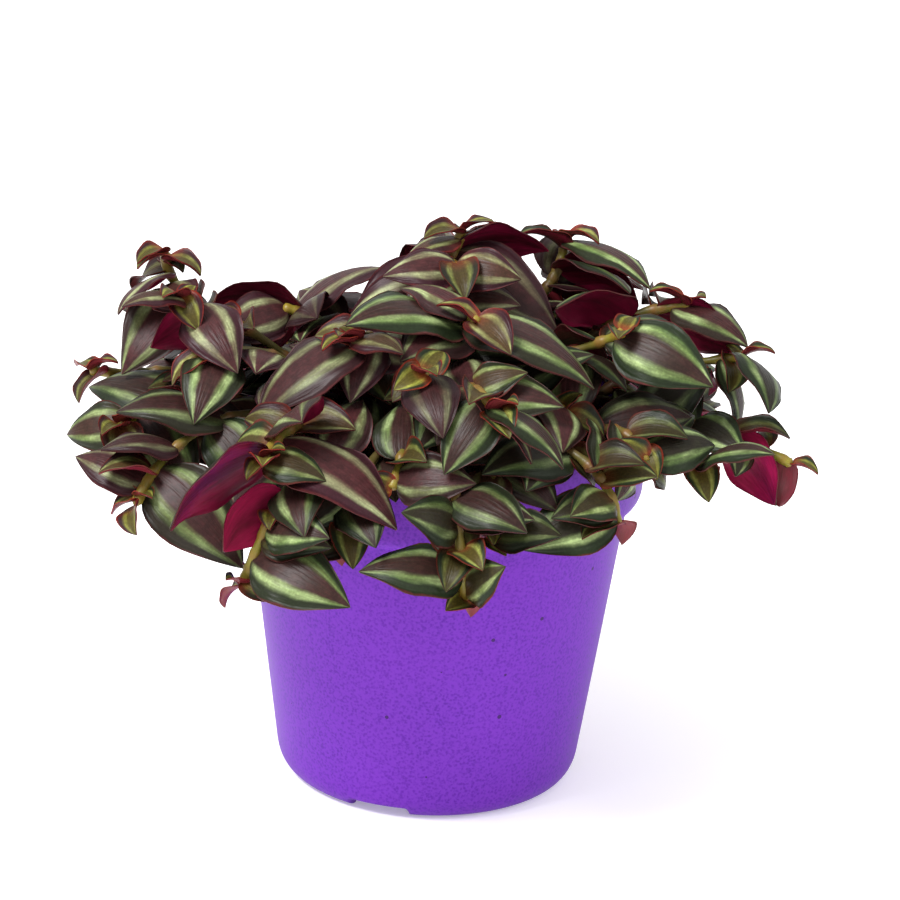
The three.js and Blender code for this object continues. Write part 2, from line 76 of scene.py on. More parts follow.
# %% A block of faces, and a piece made of blocks
class Block:
    """Points (n, 3) in mm; faces, as one array (m, k) or a list of such arrays; a UV place for each
    face corner; the finish number of each face; and three growth values for each point."""

    def __init__(self, points, faces, uv=(0.0, 0.0), finish=0, growth=(0.0, 0.0, 0.0)):
        faces = faces if isinstance(faces, list) else [faces]
        self.points = np.asarray(points, float).reshape(-1, 3)
        self.corners = np.concatenate([np.ravel(f) for f in faces])
        self.sizes = np.concatenate([np.full(len(f), np.shape(f)[1]) for f in faces])
        self.uv = np.broadcast_to(uv, (len(self.corners), 2))
        self.finish = np.broadcast_to(finish, len(self.sizes))
        self.growth = np.broadcast_to(growth, self.points.shape)


def joined(blocks, field):
    """That field of all blocks, one after another."""
    return np.concatenate([getattr(block, field) for block in blocks])


def make_piece(name, blocks, materials):
    """Joins blocks into one smooth mesh object that sits at the origin, unturned and unscaled."""
    starts = np.cumsum([0] + [len(block.points) for block in blocks])
    points = joined(blocks, "points") * MM
    corners = np.concatenate([block.corners + start for block, start in zip(blocks, starts)])
    sizes = joined(blocks, "sizes")
    mesh = bpy.data.meshes.new(name)
    mesh.vertices.add(len(points))
    mesh.vertices.foreach_set("co", points.astype(np.float32).ravel())
    mesh.loops.add(len(corners))
    mesh.loops.foreach_set("vertex_index", corners.astype(np.int32))
    mesh.polygons.add(len(sizes))
    mesh.polygons.foreach_set("loop_start", (np.cumsum(sizes) - sizes).astype(np.int32))
    mesh.polygons.foreach_set("material_index", joined(blocks, "finish").astype(np.int32))
    mesh.update(calc_edges=True)
    mesh.shade_smooth()
    surface = mesh.uv_layers.new(name="surface")
    surface.data.foreach_set("uv", joined(blocks, "uv").astype(np.float32).ravel())
    growth = mesh.attributes.new("growth", "FLOAT_VECTOR", "POINT")
    growth.data.foreach_set("vector", joined(blocks, "growth").astype(np.float32).ravel())
    mesh.validate()
    for material in materials:
        mesh.materials.append(material)
    piece = bpy.data.objects.new(name, mesh)
    bpy.context.scene.collection.objects.link(piece)
    return piece


def place_piece(piece, slot, *nodes):
    """Puts a finished piece on the frame's one body, in the place of its CAD nodes."""
    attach(piece, "root")
    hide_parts(*nodes)
    print(piece.name, len(piece.data.polygons), "faces, in the place of", ", ".join(nodes))


# %% A grid of quads
def grid_quads(rows, columns, closed=False):
    """Faces of a grid of points numbered row by row. When closed, the last column meets the first."""
    across = columns if closed else columns - 1
    row, column = np.meshgrid(np.arange(rows - 1), np.arange(across), indexing="ij")
    here = row * columns + column
    beside = row * columns + (column + 1) % columns
    return np.stack([here, beside, beside + columns, here + columns], -1).reshape(-1, 4)


# %% [markdown]
# ## Floor, light and camera
#
# The plant stands on a plain pale table that is lit a little from within, as in a catalogue, so
# that shadows on it stay faint. A white world gives the soft fill, and two large area lights give
# the rest: the stronger one stands high at the front left and gives the leaves their shine and
# their shadows, the other softens the right side. The camera looks a little down on the plant
# through a long lens, and is rolled by two degrees, because the pot leans slightly in the view.

# %% A pale floor
def plain_colour(red, green, blue):
    """A screen colour of 0 to 255 as the linear light values that shaders want:
    ((c + 0.055) / 1.055) ^ 2.4 for all but the darkest."""
    share = np.array([red, green, blue]) / 255
    linear = np.where(share <= 0.04045, share / 12.92, ((share + 0.055) / 1.055) ** 2.4)
    return (*linear.tolist(), 1.0)


FLOOR_HALF = 4000
FLOOR_WHITE = (0.93, 0.93, 0.93, 1)
FLOOR_GLOW = 0.28
WHITE = (1, 1, 1, 1)
floor_corners = [[-FLOOR_HALF, -FLOOR_HALF, 0], [FLOOR_HALF, -FLOOR_HALF, 0],
                 [FLOOR_HALF, FLOOR_HALF, 0], [-FLOOR_HALF, FLOOR_HALF, 0]]
floor_finish = bpy.data.materials.new("pale_floor")
floor_finish.use_nodes = True
floor_shader = floor_finish.node_tree.nodes["Principled BSDF"]
floor_shader.inputs["Base Color"].default_value = FLOOR_WHITE
floor_shader.inputs["Roughness"].default_value = 0.9
floor_shader.inputs["Emission Color"].default_value = WHITE
floor_shader.inputs["Emission Strength"].default_value = FLOOR_GLOW
floor = make_piece("floor", [Block(floor_corners, np.array([[0, 1, 2, 3]]))], [floor_finish])
print("floor", 2 * FLOOR_HALF * MM, "m wide")

# %% Soft studio light
WORLD_LIGHT = 0.9
world = bpy.data.worlds.new("studio")
world.use_nodes = True
background = world.node_tree.nodes["Background"]
background.inputs["Color"].default_value = WHITE
background.inputs["Strength"].default_value = WORLD_LIGHT
bpy.context.scene.world = world


def area_light(name, place, aim, size, power):
    """A square area light at place, turned so that it shines at aim. All in mm, power in watts."""
    light = bpy.data.lights.new(name, "AREA")
    light.size = size * MM
    light.energy = power
    lamp = bpy.data.objects.new(name, light)
    lamp.location = Vector(place) * MM
    lamp.rotation_euler = (Vector(aim) - Vector(place)).to_track_quat("-Z", "Y").to_euler()
    bpy.context.scene.collection.objects.link(lamp)


area_light("key_light", (-560, -460, 1050), (0, 0, 90), 450, 25)
area_light("side_light", (900, -500, 700), (0, 0, 80), 600, 3)

# %% Camera
AIM = np.array([3.18, 0.0, 97.78])
DISTANCE = 1000
ELEVATION = np.radians(19.01)
ROLL = np.radians(2.395)
FOCAL = 138.7
SENSOR = 36

ahead = np.array([0, np.cos(ELEVATION), -np.sin(ELEVATION)])
level = np.array([1.0, 0, 0])
upright = np.cross(level, ahead)
rolled_right = np.cos(ROLL) * level + np.sin(ROLL) * upright
rolled_up = np.cos(ROLL) * upright - np.sin(ROLL) * level
camera_data = bpy.data.cameras.new("camera")
camera_data.lens = FOCAL
camera_data.sensor_width = SENSOR
camera = bpy.data.objects.new("camera", camera_data)
pose = np.eye(4)
pose[:3, :3] = np.stack([rolled_right, rolled_up, -ahead], 1)
pose[:3, 3] = (AIM - ahead * DISTANCE) * MM
camera.matrix_world = Matrix(pose.tolist())
bpy.context.scene.collection.objects.link(camera)
bpy.context.scene.camera = camera
bpy.context.scene.view_settings.view_transform = "Standard"
print("camera at", [round(x, 3) for x in camera.location], "m")

# %% [markdown]
# ## Shader building blocks
#
# Each finish below is a small tree of shader nodes. Nodes are wordy to make one by one, so a short
# helper adds a node, sets its plain inputs and links the others. Effects that more than one finish
# uses are built once as node groups: fine relief for bumps and grain, blotches for uneven colour,
# and the lines that run along a leaf.

# %% A short way to build node trees
class Tree:
    """Adds nodes to one shader tree. A value may be a number, a colour or another node's output."""

    def __init__(self, tree):
        self.tree = tree

    def node(self, kind, inputs=None, **settings):
        """A new node with these inputs by name, and these settings."""
        made = self.tree.nodes.new(kind)
        for name, value in settings.items():
            setattr(made, name, value)
        for name, value in (inputs or {}).items():
            self.give(made.inputs[name], value)
        return made

    def give(self, socket, value):
        """Links an output to the socket, or sets the socket to a plain value."""
        if isinstance(value, bpy.types.NodeSocket):
            self.tree.links.new(value, socket)
        else:
            socket.default_value = value

    def maths(self, operation, *values, clamp=False):
        """The result of this operation on these values, kept between 0 and 1 when clamp is set."""
        made = self.tree.nodes.new("ShaderNodeMath")
        made.operation = operation
        made.use_clamp = clamp
        for socket, value in zip(made.inputs, values):
            self.give(socket, value)
        return made.outputs[0]

    def product(self, first, *others):
        """All these values multiplied."""
        for other in others:
            first = self.maths("MULTIPLY", first, other)
        return first

    def line(self, value, slope, start, clamp=False):
        """value·slope + start."""
        return self.maths("MULTIPLY_ADD", value, slope, start, clamp=clamp)

    def step(self, value, start, end, low=0.0, high=1.0):
        """Rises smoothly from low to high while value goes from start to end."""
        made = self.node("ShaderNodeMapRange", {"Value": value, "From Min": start, "From Max": end,
                                                "To Min": low, "To Max": high})
        made.interpolation_type = "SMOOTHSTEP"
        return made.outputs["Result"]

    def blend(self, share, first, second):
        """A colour between first and second."""
        made = self.tree.nodes.new("ShaderNodeMix")
        made.data_type = "RGBA"
        for number, value in ((0, share), (6, first), (7, second)):
            self.give(made.inputs[number], value)
        return made.outputs[2]

    def noise(self, place, scale, detail):
        """Soft random values around 0.5."""
        made = self.node("ShaderNodeTexNoise", {"Vector": place, "Scale": scale, "Detail": detail})
        return made.outputs["Fac"]

    def use(self, group, inputs):
        """The outputs of a node group that gets these inputs."""
        made = self.tree.nodes.new("ShaderNodeGroup")
        made.node_tree = group
        for socket, value in inputs.items():
            self.give(made.inputs[socket], value)
        return made.outputs

    def place(self):
        """Where a point lies in the piece, in metres. It doesn't change when the part is moved."""
        return self.node("ShaderNodeTexCoord").outputs["Object"]

    def growth(self):
        """The three growth values of a point: youth, purple and tone on a leaf, tone with painted shade."""
        values = self.node("ShaderNodeAttribute", attribute_name="growth")
        return self.node("ShaderNodeSeparateXYZ", {"Vector": values.outputs["Vector"]}).outputs


def new_group(name, inputs, outputs):
    """An empty node group with those sockets. Returns its Tree, its inputs and its output node."""
    tree = bpy.data.node_groups.new(name, "ShaderNodeTree")
    for socket, value in inputs.items():
        kind = "NodeSocketVector" if value is None else "NodeSocketFloat"
        made = tree.interface.new_socket(socket, in_out="INPUT", socket_type=kind)
        if value is not None:
            made.default_value = value
    for socket in outputs:
        tree.interface.new_socket(socket, in_out="OUTPUT", socket_type="NodeSocketFloat")
    return Tree(tree), tree.nodes.new("NodeGroupInput").outputs, tree.nodes.new("NodeGroupOutput").inputs


# %% Fine relief: the grain of moulded plastic, of skin on a stem, of crumbs
relief_tree, given, wanted = new_group(
    "fine_relief", {"Place": None, "Scale": 2500.0, "Pitting": 0.3}, ["Height"])
grain = relief_tree.noise(given["Place"], given["Scale"], 3.0)
cells = relief_tree.node("ShaderNodeTexVoronoi", {"Vector": given["Place"], "Scale": given["Scale"]})
pits = relief_tree.product(cells.outputs["Distance"], given["Pitting"])
relief_tree.give(wanted["Height"], relief_tree.maths("ADD", grain, pits))
FINE_RELIEF = relief_tree.tree

# %% Blotches: slow changes of tone, and rare specks
SPECK_RADIUS = 0.16
blotch_tree, given, wanted = new_group(
    "blotches", {"Place": None, "Scale": 60.0, "Speck Scale": 240.0, "Speck Share": 0.02},
    ["Tone", "Specks"])
slow = blotch_tree.noise(given["Place"], given["Scale"], 3.0)
scatter = blotch_tree.node(
    "ShaderNodeTexVoronoi", {"Vector": given["Place"], "Scale": given["Speck Scale"]})
chosen = blotch_tree.node("ShaderNodeTexWhiteNoise", {"Vector": scatter.outputs["Position"]})
rare = blotch_tree.maths("LESS_THAN", chosen.outputs["Value"], given["Speck Share"])
small = blotch_tree.maths("LESS_THAN", scatter.outputs["Distance"], SPECK_RADIUS)
blotch_tree.give(wanted["Tone"], blotch_tree.step(slow, 0.3, 0.7))
blotch_tree.give(wanted["Specks"], blotch_tree.product(rare, small))
BLOTCHES = blotch_tree.tree

# %% Lines along a leaf: how far a point is from the rib, and the veins that run beside it
SEED_SPREAD = 37.0
WAVER = 0.16
lines_tree, given, wanted = new_group(
    "leaf_lines", {"Surface": None, "Seed": 0.0, "Veins": 26.0},
    ["From Rib", "Along", "Streaks", "Swells", "Ridges"])
parts = lines_tree.node("ShaderNodeSeparateXYZ", {"Vector": given["Surface"]})
along, across = parts.outputs["X"], parts.outputs["Y"]
from_rib = lines_tree.maths("ABSOLUTE", lines_tree.line(across, 2.0, -1.0))
shift = lines_tree.product(given["Seed"], SEED_SPREAD)


def drawn_out(lengthwise, crosswise, detail):
    """Noise stretched along the leaf: that many waves from base to tip and from edge to edge."""
    place = lines_tree.node("ShaderNodeCombineXYZ", {
        "X": lines_tree.product(along, lengthwise), "Y": lines_tree.product(across, crosswise), "Z": shift})
    return lines_tree.noise(place.outputs[0], 1.0, detail)


waver = lines_tree.line(drawn_out(5.0, 4.0, 2.0), WAVER, -WAVER / 2)
streaks = drawn_out(4.0, lines_tree.product(given["Veins"], 0.7), 3.0)
ridges = lines_tree.maths("SINE", lines_tree.product(from_rib, lines_tree.product(given["Veins"], 1.6)))
lines_tree.give(wanted["From Rib"], lines_tree.maths("ADD", from_rib, waver))
lines_tree.give(wanted["Along"], along)
lines_tree.give(wanted["Streaks"], lines_tree.step(streaks, 0.3, 0.7))
lines_tree.give(wanted["Swells"], lines_tree.step(drawn_out(3.2, 3.0, 1.0), 0.35, 0.65))
lines_tree.give(wanted["Ridges"], lines_tree.line(ridges, 0.5, 0.5))
LEAF_LINES = lines_tree.tree
print("shader groups:", [g.name for g in bpy.data.node_groups])


# %% An empty finish
def new_finish(name, **constants):
    """A material whose Principled shader has these constant inputs. Returns it, its Tree and shader."""
    material = bpy.data.materials.new(name)
    material.use_nodes = True
    shader = material.node_tree.nodes["Principled BSDF"]
    for socket, value in constants.items():
        shader.inputs[socket.replace("_", " ")].default_value = value
    return material, Tree(material.node_tree), shader


def paint(tree, shader, colour, height, strength, depth):
    """Gives the shader this colour, and bends its normal as a relief of this depth in metres would."""
    tree.give(shader.inputs["Base Color"], colour)
    bump = tree.node("ShaderNodeBump", {"Height": height, "Strength": strength, "Distance": depth})
    tree.give(shader.inputs["Normal"], bump.outputs["Normal"])


# %% [markdown]
# ## Finishes of the plant
#
# The upper side of a leaf is painted across its width: a dark purple-brown or green middle, then a
# silvery green band, a darker margin and a thin reddish edge. The pattern has to follow each leaf,
# so it reads the leaf's own UV map, which runs from base to tip and from edge to edge. The band
# wavers, breaks into streaks and fades at both ends, and it is fainter on leaves of a high tone:
# some at random, and the old and gap leaves, whose tone is raised as painted shade because they lie
# deep among the others. Young leaves are olive, with a wider red edge and a reddish heart next to
# the stem. Three numbers that every point carries say how young the leaf is, how purple, and how it
# differs from its neighbours, a tone that also carries the painted shade of the deep leaves.

# %% Colours of the upper side
PURPLE_MIDDLE = plain_colour(72, 36, 38)
GREEN_MIDDLE = plain_colour(42, 40, 28)
DEEP_MIDDLE = plain_colour(30, 15, 17)
GREEN_BAND = plain_colour(126, 156, 86)
PINK_BAND = plain_colour(146, 120, 108)
PALE_BAND = plain_colour(188, 202, 146)
GREEN_MARGIN = plain_colour(32, 42, 24)
PURPLE_MARGIN = plain_colour(54, 24, 32)
RED_EDGE = plain_colour(94, 40, 42)
YOUNG_MIDDLE = plain_colour(80, 72, 28)
YOUNG_BAND = plain_colour(138, 140, 58)
YOUNG_EDGE = plain_colour(140, 42, 30)
YOUNG_HEART = plain_colour(142, 54, 30)
# A dark colour for the leaf's grain and for painted shade
DARK_GRAIN_AND_SHADE = plain_colour(14, 12, 9)

# %% Pattern of the upper side, in shares of the half width, of the length and of full strength
BAND_STARTS = (0.28, 0.48)
BAND_ENDS = (0.54, 0.74)
MARGIN_STARTS = (0.5, 0.64)
BASE_FADE = (0.0, 0.1)
TIP_FADE = (0.88, 1.0)
AT_TIP = 0.4
# The band fades on high-tone leaves: old ones, and painted shade on leaves deep among the others
WORN_AND_SHADED_TONES = (0.2, 1.3)
WORN_AND_SHADED_BAND = 0.55
EDGE_START, YOUNG_WIDENING = 0.94, 0.1
EDGE_STRENGTH = 0.8
HEART_LENGTH, HEART_STRENGTH = 0.4, 0.75
GRAIN_STRENGTH = 0.25
# How far the tone darkens a leaf; the tone is raised as painted shade on leaves deep among the others
TONE_AND_SHADE_STRENGTH = 0.42

leaf_upper, tree, shader = new_finish("leaf_upper", Roughness=0.4, Specular_IOR_Level=0.13)
surface = tree.node("ShaderNodeUVMap", uv_map="surface")
place = tree.place()
growth = tree.growth()
youth, purple, tone = growth["X"], growth["Y"], growth["Z"]
lines = tree.use(LEAF_LINES, {"Surface": surface.outputs["UV"], "Seed": tone, "Veins": 26.0})
mottle = tree.use(BLOTCHES, {"Place": place, "Scale": 420.0, "Speck Scale": 900.0, "Speck Share": 0.05})
from_rib, along, streaks, swells = (lines[name] for name in ("From Rib", "Along", "Streaks", "Swells"))

# Where the band shows, and how strongly
rising = tree.step(from_rib, *BAND_STARTS)
falling = tree.step(from_rib, *BAND_ENDS, 1.0, 0.0)
ends = tree.product(tree.step(along, *BASE_FADE), tree.step(along, *TIP_FADE, 1.0, AT_TIP))
# A high tone, partly painted shade on deep leaves, makes the band fainter
worn_and_shaded = tree.step(tone, *WORN_AND_SHADED_TONES, 1.0, WORN_AND_SHADED_BAND)
band = tree.product(rising, falling, ends, worn_and_shaded, tree.line(streaks, 0.5, 0.5))
band = tree.maths("MULTIPLY", band, tree.line(swells, 0.5, 0.65), clamp=True)

# Colours of the middle, the band and the margin
tinted = tree.line(streaks, 0.25, tree.line(purple, 1.4, -0.25), clamp=True)
middle = tree.blend(tinted, GREEN_MIDDLE, PURPLE_MIDDLE)
middle = tree.blend(tree.product(mottle["Tone"], 0.45), middle, DEEP_MIDDLE)
middle = tree.blend(youth, middle, YOUNG_MIDDLE)
stripe = tree.blend(tree.step(purple, 0.6, 1.0, 0.0, 0.6), GREEN_BAND, PINK_BAND)
stripe = tree.blend(tree.product(swells, 0.5), stripe, PALE_BAND)
stripe = tree.blend(youth, stripe, YOUNG_BAND)
outer = tree.blend(tree.step(purple, 0.4, 1.0), GREEN_MARGIN, PURPLE_MARGIN)
margin = tree.blend(tree.step(from_rib, *MARGIN_STARTS), middle, outer)
colour = tree.blend(band, margin, stripe)

# The red edge, the heart of a young leaf, its grain, and its tone, with painted shade on deep leaves
edge = tree.blend(youth, RED_EDGE, YOUNG_EDGE)
edge_start = tree.line(youth, -YOUNG_WIDENING, EDGE_START)
colour = tree.blend(tree.step(from_rib, edge_start, 1.0, 0.0, EDGE_STRENGTH), colour, edge)
heart = tree.product(tree.step(along, 0.0, HEART_LENGTH, HEART_STRENGTH, 0.0), youth)
colour = tree.blend(heart, colour, YOUNG_HEART)
grain = tree.use(FINE_RELIEF, {"Place": place, "Scale": 1300.0, "Pitting": 0.4})
colour = tree.blend(tree.step(grain["Height"], 0.45, 0.8, 0.0, GRAIN_STRENGTH), colour, DARK_GRAIN_AND_SHADE)
# Painted shade: leaves that lie deep among the others have a raised tone and come out darker
colour = tree.blend(tree.product(tone, TONE_AND_SHADE_STRENGTH), colour, DARK_GRAIN_AND_SHADE)
relief = tree.maths("ADD", tree.product(lines["Ridges"], 0.35), streaks)
paint(tree, shader, colour, relief, 0.3, 0.00025)
print(leaf_upper.name, len(leaf_upper.node_tree.nodes), "nodes")

# %% Underside: wine red, deeper along the rib and by tone, which is painted shade on deep leaves
WINE = plain_colour(130, 18, 56)
DEEP_WINE = plain_colour(62, 11, 24)
YOUNG_UNDER = plain_colour(98, 34, 34)

leaf_under, tree, shader = new_finish("leaf_under", Roughness=0.36, Specular_IOR_Level=0.2)
surface = tree.node("ShaderNodeUVMap", uv_map="surface")
growth = tree.growth()
lines = tree.use(LEAF_LINES, {"Surface": surface.outputs["UV"], "Seed": growth["Z"], "Veins": 20.0})
depth = tree.line(lines["Streaks"], 0.4, tree.step(lines["From Rib"], 0.0, 0.5, 0.4, 0.0))
# Painted shade: a high tone, raised on leaves deep among the others, deepens the wine red
depth = tree.line(growth["Z"], 0.5, depth, clamp=True)
colour = tree.blend(depth, WINE, DEEP_WINE)
colour = tree.blend(tree.product(growth["X"], 0.8), colour, YOUNG_UNDER)
paint(tree, shader, colour, lines["Streaks"], 0.2, 0.0002)
print(leaf_under.name, len(leaf_under.node_tree.nodes), "nodes")

# %% Stems: yellow-green, with orange-brown joints where leaves sit
STEM_GREEN = plain_colour(132, 130, 38)
OLD_STEM = plain_colour(62, 56, 28)
JOINT = plain_colour(120, 62, 34)
STEM_BLUSH = plain_colour(92, 46, 40)
BLUSH_STRENGTH, JOINT_STRENGTH, SPOT_STRENGTH = 0.22, 0.4, 0.6

stem_skin, tree, shader = new_finish("stem_skin", Roughness=0.42, Specular_IOR_Level=0.3)
place = tree.place()
growth = tree.growth()
uneven = tree.use(BLOTCHES, {"Place": place, "Scale": 180.0, "Speck Scale": 900.0, "Speck Share": 0.08})
colour = tree.blend(growth["X"], OLD_STEM, STEM_GREEN)
colour = tree.blend(tree.product(uneven["Tone"], BLUSH_STRENGTH), colour, STEM_BLUSH)
colour = tree.blend(tree.product(growth["Y"], JOINT_STRENGTH), colour, JOINT)
colour = tree.blend(tree.product(uneven["Specks"], SPOT_STRENGTH), colour, STEM_BLUSH)
relief = tree.use(FINE_RELIEF, {"Place": place, "Scale": 1500.0, "Pitting": 0.2})
paint(tree, shader, colour, relief["Height"], 0.25, 0.0002)
print(stem_skin.name, len(stem_skin.node_tree.nodes), "nodes")

# %% [markdown]
# ## The pot
#
# A nursery pot is one thin moulding: a tapered wall, a step out to a broad rim band, a rounded
# bottom edge, and a raised floor on a foot ring that three shallow notches interrupt. Every level
# cut through it is a circle, so it is a profile turned about the upright axis. The notches are part
# of the same surface: inside their width, whatever lies lower than the notch is lifted up to it.
# Only the drain holes are cut afterwards, because they don't follow the turning.

# %% Pot sizes
POT_HEIGHT = 110
RIM_RADIUS = 60
WALL = 1.2
BASE_RADIUS = 43.4
STEP_RADIUS = 55.4
STEP_HEIGHT = 87.2
BAND_RADIUS = 59.2
BAND_ROUND = 4.4
LIP_ROUND = 0.55
BOTTOM_ROUND = 8
FOOT_INNER = 34.8
FOOT_OUTER = 36.8
FLOOR_UNDER = 3.4
FLOOR_TOP = 5.2
NOTCH_BEARINGS = (-108.6, 11.4, 131.4)
NOTCH_WIDTH = 17
NOTCH_HEIGHT = 3.7
NOTCH_REACH = 5
DRAIN_HOLES = 6
DRAIN_RADIUS = 3.5
DRAIN_RING = 22
POT_COLUMNS = 192


def wall_radius(height):
    """Radius of the wall's outside: it widens evenly from the floor to the step."""
    return BASE_RADIUS + (STEP_RADIUS - BASE_RADIUS) * height / STEP_HEIGHT


def curve_between(start, control, end, count=9):
    """(1−t)²·start + 2t(1−t)·control + t²·end: a rounded corner of the profile."""
    t = np.linspace(0, 1, count)[:, None]
    return (1 - t) ** 2 * np.array(start) + 2 * t * (1 - t) * np.array(control) + t ** 2 * np.array(end)


def straight(start, end, count=2):
    """start + t·(end − start)."""
    t = np.linspace(0, 1, count)[:, None]
    return np.array(start) + t * (np.array(end) - np.array(start))


def without_repeats(profile):
    """Drops each point that lies on the one before it."""
    far = np.linalg.norm(np.diff(profile, axis=0), axis=1) > 1e-6
    return profile[np.concatenate([[True], far])]


def profile_through(start, *moves):
    """A profile from start on. Each move is (end, count) for a straight run of that many points, or
    (control, end, count) for a rounded corner."""
    runs = []
    for *through, count in moves:
        run = curve_between if len(through) == 2 else straight
        runs.append(run(start, *through, count))
        start = through[-1]
    return without_repeats(np.concatenate(runs))


# %% The pot's profile, from the middle of its underside round to the middle of its floor
AXIS = 0.01
EASE = 0.35
foot_side = FOOT_INNER - 0.4
band_inside = BAND_RADIUS - WALL
wall_inside = wall_radius(STEP_HEIGHT) - WALL
ledge = STEP_HEIGHT + WALL
lip_in = RIM_RADIUS - WALL
pot_profile = profile_through(
    (AXIS, FLOOR_UNDER),
    ((foot_side - EASE, FLOOR_UNDER), 8),
    ((foot_side, FLOOR_UNDER), (FOOT_INNER - 0.3, FLOOR_UNDER - EASE), 4),
    ((FOOT_INNER - 0.05, EASE), 2),
    ((FOOT_INNER, 0), (FOOT_INNER + EASE, 0), 4),
    ((FOOT_OUTER, 0), 4),
    ((BASE_RADIUS, 0), (wall_radius(BOTTOM_ROUND), BOTTOM_ROUND), 18),
    ((wall_radius(STEP_HEIGHT - 1), STEP_HEIGHT - 1), 30),
    ((STEP_RADIUS, STEP_HEIGHT), (STEP_RADIUS + 0.4, STEP_HEIGHT), 4),
    ((BAND_RADIUS, STEP_HEIGHT), (BAND_RADIUS, STEP_HEIGHT + BAND_ROUND), 14),
    ((RIM_RADIUS, POT_HEIGHT - LIP_ROUND), 12),
    ((RIM_RADIUS, POT_HEIGHT), (RIM_RADIUS - LIP_ROUND, POT_HEIGHT), 6),
    ((lip_in + LIP_ROUND, POT_HEIGHT), 2),
    ((lip_in, POT_HEIGHT), (lip_in - 0.02, POT_HEIGHT - LIP_ROUND), 6),
    ((band_inside, STEP_HEIGHT + BAND_ROUND), 8),
    ((band_inside, ledge), (wall_inside + 0.6, ledge), 8),
    ((wall_inside, ledge - 1.8), 2),
    ((wall_radius(BOTTOM_ROUND) - WALL, BOTTOM_ROUND), 12),
    ((BASE_RADIUS - 1, FLOOR_TOP), (FOOT_OUTER, FLOOR_TOP), 10),
    ((AXIS, FLOOR_TOP), 8))
print("pot profile of", len(pot_profile), "points")


# %% The profile turned about the axis, with the notches in its foot
def turned_surface(profile, bearings):
    """point(bearing, j) = (r_j cos b, r_j sin b, z_j) for each profile point (r_j, z_j)."""
    radius, height = profile.T
    b = np.asarray(bearings)[None, :]
    ring = np.ones_like(b)
    return np.stack([radius[:, None] * np.cos(b), radius[:, None] * np.sin(b), height[:, None] * ring], -1)


def turned_faces(rows, columns):
    """Quads between neighbouring rings, and one face across each end, so that the form is closed."""
    first = np.arange(columns)[None, ::-1]
    last = ((rows - 1) * columns + np.arange(columns))[None, :]
    return [grid_quads(rows, columns, closed=True), first, last]


pot_bearings = np.linspace(-np.pi, np.pi, POT_COLUMNS, endpoint=False)
pot_points = turned_surface(pot_profile, pot_bearings)
notch_middle = np.radians(NOTCH_BEARINGS)[:, None, None]
outwards = pot_points[..., 0] * np.cos(notch_middle) + pot_points[..., 1] * np.sin(notch_middle)
sideways = pot_points[..., 1] * np.cos(notch_middle) - pot_points[..., 0] * np.sin(notch_middle)
in_notch = ((outwards > FOOT_INNER - NOTCH_REACH) & (np.abs(sideways) < NOTCH_WIDTH / 2)).any(0)
lifted = in_notch & (pot_points[..., 2] < NOTCH_HEIGHT)
pot_points[..., 2] = np.where(lifted, NOTCH_HEIGHT, pot_points[..., 2])
print("pot surface", pot_points.shape, "with", int(lifted.sum()), "points lifted into the notches")

# %% Drain holes, cut through the raised floor
def drain_cutters():
    """One object with a short upright cylinder for each hole, evenly spaced on their ring."""
    form = bmesh.new()
    radius, depth = DRAIN_RADIUS * MM, 2 * FLOOR_TOP * MM
    for turn in np.arange(DRAIN_HOLES) * 2 * np.pi / DRAIN_HOLES:
        middle = Vector((DRAIN_RING * np.cos(turn), DRAIN_RING * np.sin(turn), FLOOR_TOP)) * MM
        bmesh.ops.create_cone(form, cap_ends=True, segments=32, radius1=radius, radius2=radius,
                              depth=depth, matrix=Matrix.Translation(middle))
    mesh = bpy.data.meshes.new("drain_cutters")
    form.to_mesh(mesh)
    form.free()
    cutters = bpy.data.objects.new("drain_cutters", mesh)
    bpy.context.scene.collection.objects.link(cutters)
    return cutters


def cut_away(piece, cutters):
    """Subtracts the cutters from the piece for good, and removes them."""
    cut = piece.modifiers.new("drain", "BOOLEAN")
    cut.operation = "DIFFERENCE"
    cut.solver = "EXACT"
    cut.object = cutters
    shown = piece.evaluated_get(bpy.context.evaluated_depsgraph_get())
    finished = bpy.data.meshes.new_from_object(shown)
    piece.modifiers.clear()
    piece.data = finished
    bpy.data.objects.remove(cutters)


# %% Plastic of the pot
POT_PURPLE = plain_colour(87, 27, 145)
POT_SHADE = plain_colour(72, 22, 132)
POT_GLINT = plain_colour(112, 46, 172)
SPECK = plain_colour(40, 22, 60)

pot_plastic, tree, shader = new_finish("pot_plastic", Roughness=0.48, Specular_IOR_Level=0.14)
place = tree.place()
uneven = tree.use(BLOTCHES, {"Place": place, "Scale": 45.0, "Speck Scale": 250.0, "Speck Share": 0.04})
relief = tree.use(FINE_RELIEF, {"Place": place, "Scale": 1100.0, "Pitting": 0.5})
colour = tree.blend(tree.product(uneven["Tone"], 0.5), POT_PURPLE, POT_SHADE)
colour = tree.blend(tree.step(relief["Height"], 0.45, 0.9, 0.0, 0.6), colour, POT_GLINT)
colour = tree.blend(tree.product(uneven["Specks"], 0.8), colour, SPECK)
tree.give(shader.inputs["Roughness"], tree.line(relief["Height"], 0.12, 0.4))
paint(tree, shader, colour, relief["Height"], 0.25, 0.00012)

# %% The finished pot
pot_block = Block(pot_points, turned_faces(len(pot_profile), POT_COLUMNS))
pot_piece = make_piece("moulded_pot", [pot_block], [pot_plastic])
cut_away(pot_piece, drain_cutters())
place_piece(pot_piece, "pot", "pot")

# %% [markdown]
# ## The compost
#
# The pot is filled with dark, crumbly compost. Seen from above it is a rough disc between the
# stems. A bump alone looks flat at such an angle, so its top is real relief: broad swells as in the
# frame, finer lumps, and a scatter of loose crumbs with few faces each. The scatter is drawn with a
# seed, so that it falls alike every time.

